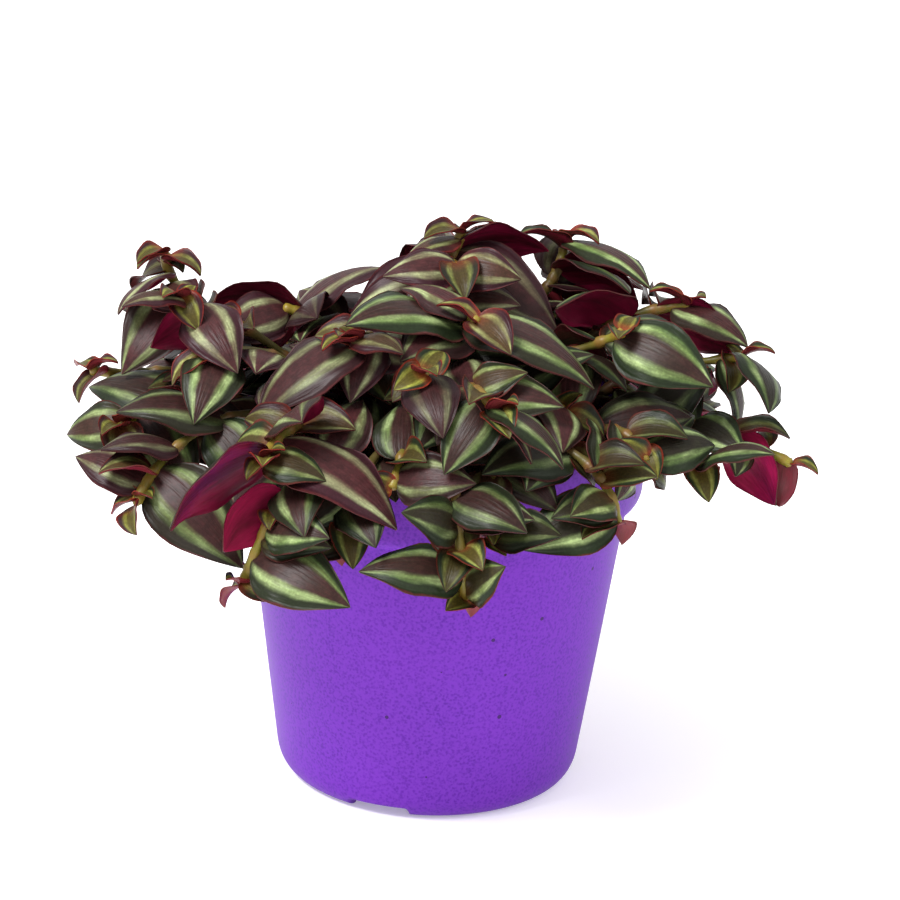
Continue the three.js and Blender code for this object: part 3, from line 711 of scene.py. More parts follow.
# %% Compost sizes and the shape of its top
GAP = 0.35
SOIL_TOP = 98
SOIL_ROUGHNESS = 0.8
LUMP_HEIGHT = 1.1
CRUMBS = 420
CRUMB_SEED = 7
SOIL_COLUMNS = 120


def soil_rise(x, y):
    """0.8·(sin(0.31x+1)·cos(0.27y) + 0.6·sin(0.7x−0.5y)): the frame's two crossed swells."""
    return SOIL_ROUGHNESS * (np.sin(0.31 * x + 1) * np.cos(0.27 * y) + 0.6 * np.sin(0.7 * x - 0.5 * y))


def lumps(x, y):
    """Sum of three turned ripples of falling size, 1/f high, folded so that their crests are round."""
    height = np.zeros_like(x)
    for wave, turn, share in ((1.1, 0.4, 0.5), (1.9, 1.7, 0.3), (3.1, 2.6, 0.2)):
        along = np.cos(turn) * x + np.sin(turn) * y
        aside = np.cos(turn) * y - np.sin(turn) * x
        bent = wave * along + 2 * np.sin(0.23 * aside)
        height += share * np.abs(np.sin(bent) * np.cos(wave * 0.9 * aside))
    return height


soil_outer = BAND_RADIUS - WALL - GAP
soil_side = wall_radius(STEP_HEIGHT) - WALL - GAP
soil_foot = FLOOR_TOP + GAP
soil_profile = profile_through(
    (AXIS, soil_foot),
    ((FOOT_OUTER - GAP, soil_foot), 4),
    ((BASE_RADIUS - 1.8, soil_foot),
     (wall_radius(BOTTOM_ROUND + 1) - WALL - GAP, BOTTOM_ROUND + 1.4), 6),
    ((soil_side - 0.1, STEP_HEIGHT), 8),
    ((soil_side - 0.1, ledge + GAP), 2),
    ((soil_outer - 0.2, ledge + GAP), (soil_outer - 0.2, STEP_HEIGHT + BAND_ROUND + GAP), 6),
    ((soil_outer, SOIL_TOP - 1.5), 4),
    ((soil_outer, SOIL_TOP), 2),
    ((AXIS, SOIL_TOP), 72))
soil_bearings = np.linspace(-np.pi, np.pi, SOIL_COLUMNS, endpoint=False)
soil_points = turned_surface(soil_profile, soil_bearings)
on_top = soil_points[..., 2] > SOIL_TOP - 0.01
rise = soil_rise(soil_points[..., 0], soil_points[..., 1])
rise = rise + LUMP_HEIGHT * lumps(soil_points[..., 0], soil_points[..., 1]) - 0.5
soil_points[..., 2] += np.where(on_top, rise, 0)
soil_points[-1, :, 2] = soil_points[-1, :, 2].mean()
top_heights = soil_points[..., 2][on_top]
print("compost top from", top_heights.min().round(1), "to", top_heights.max().round(1), "mm")


# %% Loose crumbs
def crumb_form():
    """A lump with 20 triangular faces: the corners of three crossed golden rectangles."""
    g = (1 + 5 ** 0.5) / 2
    corners = [(-1, g, 0), (1, g, 0), (-1, -g, 0), (1, -g, 0), (0, -1, g), (0, 1, g),
               (0, -1, -g), (0, 1, -g), (g, 0, -1), (g, 0, 1), (-g, 0, -1), (-g, 0, 1)]
    faces = [(0, 11, 5), (0, 5, 1), (0, 1, 7), (0, 7, 10), (0, 10, 11), (1, 5, 9), (5, 11, 4),
             (11, 10, 2), (10, 7, 6), (7, 1, 8), (3, 9, 4), (3, 4, 2), (3, 2, 6), (3, 6, 8),
             (3, 8, 9), (4, 9, 5), (2, 4, 11), (6, 2, 10), (8, 6, 7), (9, 8, 1)]
    return np.array(corners) / np.linalg.norm(corners[0]), np.array(faces)


def scattered_crumbs():
    """centre + size·(corner stretched and jittered): each crumb half sunk into the compost."""
    rng = np.random.default_rng(CRUMB_SEED)
    corners, faces = crumb_form()
    r = (soil_outer - 4) * np.sqrt(rng.random(CRUMBS))
    b = 2 * np.pi * rng.random(CRUMBS)
    size = 0.5 + 1.1 * rng.random(CRUMBS) ** 2
    x, y = r * np.cos(b), r * np.sin(b)
    height = SOIL_TOP + soil_rise(x, y) + LUMP_HEIGHT * lumps(x, y) - 0.4 + 0.3 * size
    centre = np.stack([x, y, height], -1)
    stretch = rng.uniform(0.6, 1.3, (CRUMBS, 1, 3)) * (1 + rng.normal(0, 0.12, (CRUMBS, len(corners), 1)))
    points = centre[:, None, :] + size[:, None, None] * corners[None] * stretch
    faces = faces[None] + len(corners) * np.arange(CRUMBS)[:, None, None]
    tone = np.repeat(rng.random(CRUMBS), len(corners))
    return Block(points, faces.reshape(-1, 3), growth=np.stack([tone, tone * 0 + 1, tone], -1))


# %% Finish of the compost
PEAT = plain_colour(34, 24, 18)
BARK = plain_colour(78, 54, 38)
PALE_GRAIN = plain_colour(150, 132, 108)

peat, tree, shader = new_finish("peat_compost", Roughness=0.95, Specular_IOR_Level=0.2)
place = tree.place()
uneven = tree.use(BLOTCHES, {"Place": place, "Scale": 400.0, "Speck Scale": 700.0, "Speck Share": 0.05})
relief = tree.use(FINE_RELIEF, {"Place": place, "Scale": 1100.0, "Pitting": 1.0})
colour = tree.blend(uneven["Tone"], PEAT, BARK)
pale_crumbs = tree.product(tree.step(tree.growth()["X"], 0.8, 1.0), 0.8)
colour = tree.blend(pale_crumbs, colour, PALE_GRAIN)
colour = tree.blend(tree.product(uneven["Specks"], 0.5), colour, PALE_GRAIN)
paint(tree, shader, colour, relief["Height"], 0.8, 0.0008)

# %% The finished compost
soil_block = Block(soil_points, turned_faces(len(soil_profile), SOIL_COLUMNS))
soil_piece = make_piece("compost", [soil_block, scattered_crumbs()], [peat])
place_piece(soil_piece, "soil", "soil")

# %% [markdown]
# ## How the stems grow
#
# Each leafy stem leaves the compost at its root, climbs, leans over towards a crest and ends at its
# tip, so its line is one cubic Bezier curve. Its blades are listed from the oldest to the youngest
# as bearing, tilt, length and the way that the upper side faces. The frame's solids were grown from
# this same planting table. Repeating it here gives every finer blade the place, size and form of
# its solid.

# %% Planting table: the stems that are seen from the front
# Each row is a stem's name, root, rise, crest, tip, leafy share and blades.
UP = (0, 0, 1)
FRONT = (0, -0.8, 0.6)
AWAY = (0, 0.85, 0.3)
LEFT = (-0.8, -0.3, 0.5)
RIGHT = (0.8, -0.3, 0.5)
FRONT_UP = (0, -0.5, 0.85)
CREST = (0.15, 0.1, 1)
SLANT = (0, -0.2, 1)
SLANT_LEFT = (-0.3, -0.3, 0.9)
UNDER = (0, 0.8, 0.55)
EDGE_LEFT = (-0.5, -0.1, 0.8)
EDGE_RIGHT = (0.85, -0.5, 0.1)
LEAFY_SHARE = 0.4

FRONT_ROWS = [
    ("stem_left_low", (-40, -13), 28, (-80, -30, 120), (-88, -42, 115), 0.28, [
        (-9, -17, 34, FRONT_UP), (-49, -45, 32, FRONT), (156, -20, 20, FRONT), (-65, -52, 15, FRONT)]),
    ("stem_front_left", (-25, -29), 30, (-44, -62, 124), (-46, -78, 119), 0.3, [
        (-164, -77, 29, FRONT), (-25, -25, 41, SLANT), (-141, -26, 36, UNDER), (-21, -10, 18, FRONT_UP),
        (-156, -13, 12, UP)]),
    ("stem_left_hang", (-36, -24), 32, (-74, -50, 122), (-81, -66, 101), LEAFY_SHARE, [
        (-30, -40, 26, FRONT), (-26, -38, 36, FRONT), (-84, -33, 10, LEFT)]),
    ("stem_low_left", (-21, -38), 34, (-42, -84, 118), (-51, -78, 83), 0.3, [
        (-138, -29, 24, AWAY), (-39, 7, 22, FRONT), (-28, -15, 31, FRONT), (-22, -22, 12, FRONT),
        (-128, 34, 8, UP)]),
    ("stem_low_front", (3, -47), 36, (5, -90, 114), (9, -82, 84), 0.25, [
        (-144, 22, 20, FRONT), (109, 25, 18, FRONT), (-171, 13, 28, FRONT_UP), (-54, 51, 18, FRONT),
        (-113, -3, 9, FRONT)]),
    ("stem_low_right", (22, -40), 32, (48, -66, 118), (49, -64, 101), 0.5, [
        (-140, -10, 30, FRONT_UP), (98, 24, 24, EDGE_RIGHT), (-165, -22, 28, FRONT),
        (-137, -7, 13, SLANT)]),
    ("stem_centre", (2, -15), 46, (5, -24, 148), (9, -38, 148), LEAFY_SHARE, [
        (-146, 8, 38, SLANT), (-21, -20, 41, SLANT), (146, 1, 24, UP), (-47, -30, 16, FRONT_UP),
        (170, 20, 12, UP)]),
    ("stem_centre_left", (-15, -21), 40, (-18, -32, 144), (-25, -44, 143), LEAFY_SHARE, [
        (-40, -4, 22, FRONT), (-103, -47, 22, FRONT), (-154, -35, 37, SLANT_LEFT), (-37, 9, 17, SLANT),
        (-139, -4, 10, UP)]),
    ("stem_right_heart", (22, -9), 38, (42, -18, 134), (50, -24, 143), LEAFY_SHARE, [
        (-97, -37, 25, FRONT), (128, -22, 24, AWAY), (-25, -18, 31, FRONT), (67, 13, 8, UP)]),
    ("stem_left_high", (-31, 5), 34, (-79, -8, 132), (-79, -8, 156), 0.2, [
        (-133, -41, 30, FRONT), (-130, -19, 22, LEFT), (-28, -12, 12, UP), (-138, -11, 10, UP)]),
    ("stem_left_shoulder", (-31, -7), 34, (-66, -18, 140), (-73, -28, 149), 0.26, [
        (-162, -23, 21, AWAY), (-55, -30, 26, FRONT), (-149, 1, 19, UP), (-44, -46, 11, FRONT)]),
    ("stem_left_curl", (-38, 8), 32, (-90, 4, 112), (-100, -4, 119), 0.3, [
        (-82, -18, 32, FRONT), (-130, -30, 13, LEFT), (-20, 22, 9, UP)]),
    ("stem_left_inner", (-17, 5), 26, (-30, 0, 136), (-46, -2, 139), 0.16, [
        (168, 4, 29, UNDER), (30, 19, 31, EDGE_LEFT), (-154, -15, 23, FRONT), (-143, -41, 17, UNDER)]),
    ("stem_left_mid", (-26, -16), 34, (-58, -22, 136), (-64, -36, 134), LEAFY_SHARE, [
        (-85, 4, 21, FRONT), (-107, -42, 26, FRONT), (-153, -20, 13, LEFT)]),
    ("stem_bud_left", (-10, -43), 34, (-24, -74, 112), (-24, -71, 94), LEAFY_SHARE, [
        (-147, -35, 25, FRONT), (-78, -50, 14, FRONT), (-111, 43, 7, UP)]),
    ("stem_bud_front", (12, -44), 34, (17, -76, 114), (15, -73, 99), LEAFY_SHARE, [
        (-106, -49, 18, FRONT), (-54, -24, 8, FRONT)]),
    ("stem_front_mid", (5, -31), 34, (6, -58, 140), (15, -70, 133), LEAFY_SHARE, [
        (100, -1, 24, FRONT), (-33, -41, 24, RIGHT), (-32, -36, 27, RIGHT), (-71, -16, 12, FRONT)]),
    ("stem_drop_front", (-8, -34), 28, (-8, -62, 122), (-12, -70, 110), LEAFY_SHARE, [
        (69, -11, 18, FRONT), (91, 14, 23, FRONT), (-7, 6, 23, FRONT), (-165, 36, 9, FRONT)]),
    ("stem_small_front", (-3, -24), 34, (-4, -52, 134), (-5, -60, 140), LEAFY_SHARE, [
        (-111, -20, 14, FRONT), (62, 23, 11, FRONT), (-142, -19, 10, FRONT)]),
    ("stem_tuft_left", (-16, -33), 26, (-26, -58, 118), (-32, -66, 116), LEAFY_SHARE, [
        (103, 13, 22, FRONT), (55, 14, 22, FRONT), (-139, 34, 9, UP)]),
    ("stem_top", (-5, 7), 48, (2, 8, 154), (4, 8, 161), LEAFY_SHARE, [
        (-155, -25, 32, FRONT), (-22, -28, 38, FRONT), (10, -3, 27, UNDER), (-159, -21, 18, UP),
        (-151, -1, 12, UP), (-15, 22, 10, UP)]),
    ("stem_top_front", (1, -4), 46, (2, -8, 153), (3, -8, 156), LEAFY_SHARE, [
        (178, -20, 32, FRONT), (-140, -15, 19, FRONT), (-15, -5, 19, FRONT), (-90, -30, 14, FRONT)]),
    ("stem_umbrella", (17, 12), 46, (33, 18, 136), (34, 22, 157), 0.13, [
        (-5, -24, 25, AWAY), (-152, 14, 16, UP), (-31, -25, 30, CREST), (-38, 2, 12, UP)]),
    ("stem_right_high", (28, 9), 40, (62, 10, 140), (70, 8, 142), LEAFY_SHARE, [
        (-131, 9, 33, UNDER), (-11, -21, 28, AWAY), (-28, -26, 25, SLANT), (-165, 24, 12, UP),
        (-44, 32, 7, UP)]),
    ("stem_right_far", (37, 3), 30, (74, 6, 124), (86, 0, 130), LEAFY_SHARE, [
        (-60, -45, 24, FRONT), (-62, -61, 22, EDGE_RIGHT), (-76, -18, 27, UNDER)]),
    ("stem_right_low", (40, -10), 28, (82, -12, 112), (100, -18, 104), LEAFY_SHARE, [
        (-55, -3, 24, FRONT), (-45, -41, 24, AWAY), (107, 4, 12, FRONT), (-97, -55, 14, AWAY),
        (-22, -11, 8, UP)]),
    ("stem_right_bud", (33, -24), 28, (58, -44, 120), (56, -52, 115), LEAFY_SHARE, [
        (-89, -33, 28, EDGE_RIGHT), (-55, -41, 10, FRONT), (-166, 38, 10, FRONT)]),
    ("stem_right_rosette", (38, -19), 28, (68, -32, 116), (73, -38, 108), LEAFY_SHARE, [
        (120, 20, 20, FRONT), (-117, 4, 14, FRONT), (-64, -47, 12, FRONT), (-13, 25, 8, UP)]),
]
STEM_FIELDS = ("name", "root", "rise", "crest", "tip", "leafy", "leaves")
FRONT_STEMS = [dict(zip(STEM_FIELDS, row)) for row in FRONT_ROWS]
print(len(FRONT_STEMS), "stems in front,", sum(len(s["leaves"]) for s in FRONT_STEMS), "blades")

# %% Stems behind and on the crown, which follow a rule: bearing, reach, height and number of blades
RULED_STEMS = [
    ("stem_back_1", 24, 80, 104, 4), ("stem_back_2", 43, 82, 100, 4),
    ("stem_back_3", 66, 81, 97, 4), ("stem_back_4", 90, 76, 104, 5),
    ("stem_back_5", 113, 81, 98, 4), ("stem_back_6", 136, 82, 100, 5),
    ("stem_back_7", 162, 99, 94, 4), ("stem_crown_1", 48, 58, 138, 5),
    ("stem_crown_2", 76, 60, 130, 4), ("stem_crown_3", 112, 58, 120, 5),
    ("stem_crown_4", 80, 30, 150, 4), ("stem_under_right", -50, 50, 122, 3),
]
RULED_LENGTH, SHORTEST_SHARE = 38, 0.34
OLD_SPREAD, YOUNG_SPREAD = 62, 34
CREST_SHARE, LOWEST_CREST, CREST_ABOVE = 0.74, 116, 8
WOBBLE = 10
FOOT_DEPTH = 6


def draw(seed):
    """A value from -1 to 1 that looks random and is the same every time:
    2·fraction(sin(12.9898·seed)·43758.5453) − 1."""
    wave = np.sin(seed * 12.9898) * 43758.5453
    return 2 * (wave - np.floor(wave)) - 1


def direction(bearing, tilt):
    """Unit vector (cos b cos t, sin b cos t, sin t) for a plan angle b and a rise t, in degrees."""
    b, t = np.radians(bearing), np.radians(tilt)
    return np.array([np.cos(b) * np.cos(t), np.sin(b) * np.cos(t), np.sin(t)])


def ruled_stem(order, name, bearing, reach, height, count):
    """Blades alternate left and right of the stem's bearing, spread less and shrink towards the tip.
    The crest is at a share of the reach, and a little above the tip or above a lowest height."""

    def at(r, turn):
        return (r * direction(bearing + turn, 0)[:2]).tolist()

    spread = 6 * draw(order + 0.3)
    leaves = []
    for i in range(count):
        age = 1 - i / (count - 1)
        side = 1 if (i + order) % 2 else -1
        turn = YOUNG_SPREAD + (OLD_SPREAD - YOUNG_SPREAD) * age
        wobble = WOBBLE * draw(order * 7 + i)
        length = RULED_LENGTH * (SHORTEST_SHARE + (1 - SHORTEST_SHARE) * age ** 0.8)
        leaves.append([bearing + side * turn + wobble, -30 * age - 8 + wobble, length,
                       direction(bearing, 45)])
    return dict(name=name, root=at(0.32 * reach + 3 * draw(order + 0.7), spread), rise=30,
                crest=[*at(CREST_SHARE * reach, 0), max(height, LOWEST_CREST) + CREST_ABOVE],
                tip=[*at(reach, -spread), height], leafy=LEAFY_SHARE, leaves=leaves)


stems = FRONT_STEMS + [ruled_stem(order, *rule) for order, rule in enumerate(RULED_STEMS)]
print(len(stems), "stems in all")


# %% The line of a stem, and the joints where its blades sit
def stem_line(stem, t):
    """(1−t)³·P0 + 3t(1−t)²·P1 + 3t²(1−t)·P2 + t³·P3, from the foot in the compost to the tip."""
    t = np.asarray(t, float)[..., None]
    foot = np.array([*stem["root"], SOIL_TOP - FOOT_DEPTH], float)
    climb = np.array([*stem["root"], SOIL_TOP + stem["rise"]], float)
    crest, tip = np.array(stem["crest"], float), np.array(stem["tip"], float)
    return (1 - t) ** 3 * foot + 3 * t * (1 - t) ** 2 * climb + 3 * t ** 2 * (1 - t) * crest + t ** 3 * tip


def stem_heading(stem, t, reach=0.01):
    """Unit vector along the stem at t."""
    ahead = stem_line(stem, np.minimum(t + reach, 1)) - stem_line(stem, np.maximum(t - reach, 0))
    return ahead / np.linalg.norm(ahead, axis=-1, keepdims=True)


def heading_angles(stem, t):
    """Bearing and tilt of the stem at t, in degrees."""
    x, y, z = stem_heading(stem, t)
    return np.degrees(np.arctan2(y, x)), np.degrees(np.arcsin(z))


def joint_at(stem, i):
    """1 − leafy·((n−1−i)/(n−1))^1.6: joints close up towards the tip."""
    n = len(stem["leaves"])
    return 1 - stem["leafy"] * ((n - 1 - i) / (n - 1)) ** 1.6


# %% [markdown]
# ## The form of a blade
#
# A tradescantia blade is broad and rounded near its base, where it clasps the stem, and then drawn
# out to a point. It arches along its rib, twists a little, and its edges curl down, or up while it
# is young. The frame's solid stops there. The finer blade adds a groove along the rib, rippled edges
# and a drooping tip. All of that is one surface of two parameters: s runs from base to tip, and w
# from edge to edge. The skins are that surface moved half the thickness either way, so both sides
# have the same grid of faces.

# %% The middle surface of a blade
BOW = 0.13
BREADTH = 0.75
NECK = 0.9
YOUNG_LENGTH = 17
OLD_CROWN = 0.24
YOUNG_CROWN = -0.4
TWIST = 14
GROOVE, GROOVE_WIDTH = 0.4, 0.16
RIPPLE, RIPPLE_WAVES = 0.09, 1.7
TIP_DROOP, DROOP_FROM = 0.03, 0.7


def half_width(s, length):
    """breadth·length^0.76 · s^0.5·(1−s)^0.92 / 0.398 + neck·(1−s)^6."""
    return BREADTH * length ** 0.76 * s ** 0.5 * (1 - s) ** 0.92 / 0.398 + NECK * (1 - s) ** 6


def unit(v):
    """v made one long."""
    return v / np.linalg.norm(v, axis=-1, keepdims=True)


def blade_surface(blade, s, w, offset=0.0, spare=0.0, fine=True):
    """rib(s) = base + chord·L·s + upper·4·bow·L·s(1−s), drooping a little more near the tip;
    side(s) = the cross direction turned about the rib by twist·s;
    point(s, w) = rib + side·w·(half(s)+spare) + normal·(offset − crown·half·w² − groove + ripple),
    where the groove lies along the rib and the ripple runs along the edges."""
    s, w = s[:, None], w[None, :]
    length, chord = blade["length"], blade["chord"]
    upper = unit(blade["facing"] - (blade["facing"] @ chord) * chord)
    slope = 4 * BOW * (1 - 2 * s)
    along = unit(chord + upper * slope[..., None])
    cross = np.cross(upper, chord)
    turn = blade["twist"] * s[..., None]
    side = cross * np.cos(turn) + np.cross(along, np.broadcast_to(cross, along.shape)) * np.sin(turn)
    normal = np.cross(along, side)
    half = half_width(s, length) + spare
    crown = YOUNG_CROWN if length < YOUNG_LENGTH else OLD_CROWN
    lift = offset - crown * half * w ** 2
    rise = 4 * BOW * length * s * (1 - s)
    if fine:
        groove = GROOVE * np.exp(-((w / GROOVE_WIDTH) ** 2)) * (1 - s) ** 0.5 * min(1, length / 30)
        ripple = RIPPLE * half * w ** 4 * np.sin(2 * np.pi * (RIPPLE_WAVES * s + blade["tone"]))
        lift = lift - groove + ripple
        rise = rise - TIP_DROOP * length * np.clip((s - DROOP_FROM) / 0.3, 0, 1) ** 2
    rib = blade["base"] + chord * (length * s)[..., None] + upper * rise[..., None]
    return rib + side * (w * half)[..., None] + normal * lift[..., None]


def both_skins(blade, s, w, offset, **more):
    """The surface moved by offset to the upper and to the lower side, as one list of points."""
    return np.stack([blade_surface(blade, s, w, side * offset, **more) for side in (1, -1)]).reshape(-1, 3)


# %% The two skins of a blade and the faces that join them round its edge
ROWS, COLUMNS = 17, 11
SKIN = 0.31
EDGE_SKIN = 0.14
BLADE_END = 0.997
EVEN_SHARE = 0.65
even = np.linspace(-1, 1, COLUMNS)
BLADE_S = (1 - np.cos(np.pi * np.linspace(0, 1, ROWS))) / 2 * BLADE_END
BLADE_W = np.sin(np.pi / 2 * even) * (1 - EVEN_SHARE) + even * EVEN_SHARE


def skin_offset(w):
    """Half the thickness: full at the rib and thin at the edges."""
    return EDGE_SKIN + (SKIN - EDGE_SKIN) * (1 - w ** 4)


def closed_sheet_faces(rows, columns):
    """Faces of two grids that lie on each other: the upper skin, the lower one and the rim between."""
    upper = grid_quads(rows, columns)[:, ::-1]
    lower = grid_quads(rows, columns) + rows * columns
    ring = np.concatenate([
        np.arange(columns - 1), np.arange(rows - 1) * columns + columns - 1,
        rows * columns - 1 - np.arange(columns - 1), (rows - 1 - np.arange(rows - 1)) * columns])
    beside = np.roll(ring, -1)
    rim = np.stack([ring, ring + rows * columns, beside + rows * columns, beside], -1)
    return np.concatenate([upper, lower, rim])


BLADE_FACES = closed_sheet_faces(ROWS, COLUMNS)
BLADE_PLACES = np.stack(np.meshgrid(BLADE_S, (BLADE_W + 1) / 2, indexing="ij"), -1).reshape(-1, 2)
BLADE_UV = BLADE_PLACES[BLADE_FACES.ravel() % (ROWS * COLUMNS)]
SKIN_FACES = (ROWS - 1) * (COLUMNS - 1)
BLADE_FINISH = np.repeat([0, 1, 0], [SKIN_FACES, SKIN_FACES, len(BLADE_FACES) - 2 * SKIN_FACES])


def blade_block(blade):
    """A finished blade: growth holds its youth, how purple it is, and its tone, with any painted shade."""
    points = both_skins(blade, BLADE_S, BLADE_W, skin_offset(BLADE_W)[None, :])
    traits = (blade["youth"], blade["purple"], blade["tone"])
    return Block(np.clip(points, BOX_LOW, BOX_HIGH), BLADE_FACES, BLADE_UV, BLADE_FINISH, traits)


print("a blade has", len(BLADE_FACES), "faces")

# %% [markdown]
# ## Finding each solid's blade again
#
# A blade of the frame may have bent a little from the table, to stay clear of its neighbours. The
# ways in which it may bend are few and listed in order. The one that was taken is the one whose tip
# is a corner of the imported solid, so it is looked up in the frame's own mesh and not guessed.

# %% Bends, as turn and lift in degrees and a share of the length
OFFSETS = [(0, 0), (0, 9), (0, -9), (12, 0), (-12, 0), (10, 12), (-10, 12), (10, -12), (-10, -12),
           (0, 20), (0, -20), (24, 0), (-24, 0), (22, 18), (-22, 18), (22, -18), (-22, -18), (0, 32),
           (40, 10), (-40, 10)]


def bends_at(*shares, offsets=OFFSETS):
    """Each turn and lift at each of these shares of the full length, in that order."""
    return [(turn, lift, share) for share in shares for turn, lift in offsets]


BENDS = bends_at(1, 0.86, 0.72, 0.58)
TIP_SKIN = 0.35
SAME = 0.05


def new_blade(base, bearing, tilt, length, facing, seed):
    """Everything that the blade's surface needs, with its youth and colouring. Youth is 1 up to
    10 mm of length and 0 from 21 mm. purple = 0.44 − x/250 + 0.012·(z − 115) ± 0.38, so it grows to
    the left and towards the crown."""
    base = np.asarray(base, float)
    youth = np.clip((21 - length) / 11, 0, 1)
    purple = np.clip(0.44 - base[0] / 250 + 0.012 * (base[2] - 115) + 0.38 * draw(seed + 0.4), 0, 1)
    return dict(base=base, chord=direction(bearing, tilt), facing=unit(np.array(facing, float)),
                length=length, twist=np.radians(TWIST) * draw(seed), youth=float(youth),
                purple=float(purple), tone=0.5 + 0.5 * draw(seed + 0.8))


# %% The bend that a solid shows
def corners_of(node):
    """Corners of a CAD node in mm."""
    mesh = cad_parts[node].data
    flat = np.empty(3 * len(mesh.vertices), np.float32)
    mesh.vertices.foreach_get("co", flat)
    return flat.reshape(-1, 3).astype(float) / MM


def shown_blade(corners, base, leaf, seed):
    """The first bend whose tip, base + chord·length, has a corner of the solid on either side of it."""
    bearing, tilt, length, facing = leaf
    for turn, lift, share in BENDS:
        tip = base + direction(bearing + turn, tilt + lift) * length * share
        near = np.abs(np.linalg.norm(corners - tip, axis=1) - TIP_SKIN) < SAME
        if near.sum() >= 2:
            return new_blade(base, bearing + turn, tilt + lift, length * share, facing, seed)
    return None


seed = missing = 0
for stem in stems:
    corners = corners_of(stem["name"])
    stem["blades"] = []
    for i, leaf in enumerate(stem["leaves"]):
        seed += 1
        blade = shown_blade(corners, stem_line(stem, joint_at(stem, i)), leaf, seed)
        if blade is None:
            missing += 1
            continue
        blade["at"] = joint_at(stem, i)
        stem["blades"].append(blade)
print(seed - missing, "blades found in the frame,", missing, "had no room there")

# %% [markdown]
# ## Leaves that fill the mound
#
# The frame carries the leaves that give the plant its outline. The real plant has more, and they
# are grown here by rule, in three rounds: a tuft of folded young leaves at each tip, older leaves
# lower on each stem, and then a leaf wherever there is still room for one. The leaves of the last
# two rounds lie deeper among the others, so they get painted shade: a raised tone that makes them
# darker. A new leaf may not cut through anything that stands there already, so each form gets a
# search tree of its faces, and a leaf that meets another one tries the next bend.

# %% What stands where
class Room:
    """Boxes and search trees of all forms so far, with the name of what each belongs to."""

    def __init__(self):
        self.low, self.high, self.trees, self.owners = [], [], [], []

    def add(self, owner, points, faces):
        """Takes in one more form."""
        self.low.append(points.min(0))
        self.high.append(points.max(0))
        self.trees.append(BVHTree.FromPolygons(points.tolist(), faces.tolist()))
        self.owners.append(owner)

    def meets(self, points, faces, owner, sisters):
        """Whether this form cuts one of another owner or, with sisters set, one of the same owner."""
        near = ((np.array(self.low) < points.max(0)) & (np.array(self.high) > points.min(0))).all(1)
        near &= (np.array(self.owners) == owner) == sisters
        if not near.any():
            return False
        tree = BVHTree.FromPolygons(points.tolist(), faces.tolist())
        return any(tree.overlap(self.trees[i]) for i in np.nonzero(near)[0])


# %% Coarse shells of blades, for the search
SHELL_ROWS, SHELL_COLUMNS = 7, 5
SHELL_SKIN = 0.35
SHELL_END = 0.995
CLEARANCE = 0.25
FREE_FROM = 0.22
SHELL_FACES = closed_sheet_faces(SHELL_ROWS, SHELL_COLUMNS)


def blade_shell(blade, spare=0.0, start=0.0):
    """The blade on a coarse grid, grown by spare all round, from share start of it on."""
    s = start + (SHELL_END - start) * np.linspace(0, 1, SHELL_ROWS) ** 1.15
    w = np.linspace(-1, 1, SHELL_COLUMNS)
    return both_skins(blade, s, w, SHELL_SKIN + spare, spare=spare, fine=False)


room = Room()
for owner, points in (("pot", pot_points), ("compost", soil_points)):
    room.add(owner, points.reshape(-1, 3), grid_quads(*points.shape[:2], closed=True))

# %% Skin of a stem
STEM_COLUMNS = 10
STEM_ROWS = 84
OUTLINE_ROWS, OUTLINE_COLUMNS = 14, 6
STEM_BASE, STEM_TIP = 1.55, 0.95
JOINT_SWELL, JOINT_REACH = 0.4, 1.3
SHEATH_SWELL, SHEATH_LENGTH = 0.28, 4.0


def stem_surface(stem, rows, columns):
    """point(t, φ) = line(t) + r(t)·(side cos φ + over sin φ). The radius falls evenly from foot to
    tip, with a swelling e^−((l−l_joint)/reach)² at each joint and a sheath just below it. Returns
    the points, and how close each ring is to a joint."""
    t = np.linspace(0, 1, rows)
    line = stem_line(stem, t)
    heading = stem_heading(stem, t)
    run = np.concatenate([[0], np.cumsum(np.linalg.norm(np.diff(line, axis=0), axis=1))])
    joints = np.interp([blade["at"] for blade in stem["blades"]], t, run)
    off = run[:, None] - joints[None, :]
    close = np.exp(-((off / JOINT_REACH) ** 2)).max(1)
    below = np.clip((off + SHEATH_LENGTH) / 1.5, 0, 1) * np.clip(0.5 - off / 0.8, 0, 1)
    radius = STEM_BASE + (STEM_TIP - STEM_BASE) * t + JOINT_SWELL * close + SHEATH_SWELL * below.max(1)
    radius = radius * np.where(t > 0.999, 0.5, 1)
    flat = unit(np.cross((0, 0, 1), line[-1] - line[0]))
    side = unit(flat - (heading @ flat)[:, None] * heading)
    over = np.cross(heading, side)
    turn = np.linspace(0, 2 * np.pi, columns, endpoint=False)[None, :, None]
    ring = side[:, None] * np.cos(turn) + over[:, None] * np.sin(turn)
    return line[:, None] + radius[:, None, None] * ring, close


def stem_block(stem, tone):
    """A finished stem: growth holds its youth, how close a joint is, and its tone."""
    points, close = stem_surface(stem, STEM_ROWS, STEM_COLUMNS)
    youth = np.linspace(0, 1, STEM_ROWS) ** 4
    traits = np.repeat(np.stack([youth, close, np.full(STEM_ROWS, tone)], -1), STEM_COLUMNS, axis=0)
    return Block(points, turned_faces(STEM_ROWS, STEM_COLUMNS), finish=2, growth=traits)


for stem in stems:
    outline, _ = stem_surface(stem, OUTLINE_ROWS, OUTLINE_COLUMNS)
    room.add(stem["name"], outline.reshape(-1, 3), grid_quads(OUTLINE_ROWS, OUTLINE_COLUMNS, closed=True))
    for blade in stem["blades"]:
        room.add(stem["name"], blade_shell(blade), SHELL_FACES)
print("forms so far:", len(room.trees))

# %% Try a leaf in each bend until it is clear
MOUND_FOOT, MOUND_HALF, MOUND_FLARE = 72, 62, 1.0


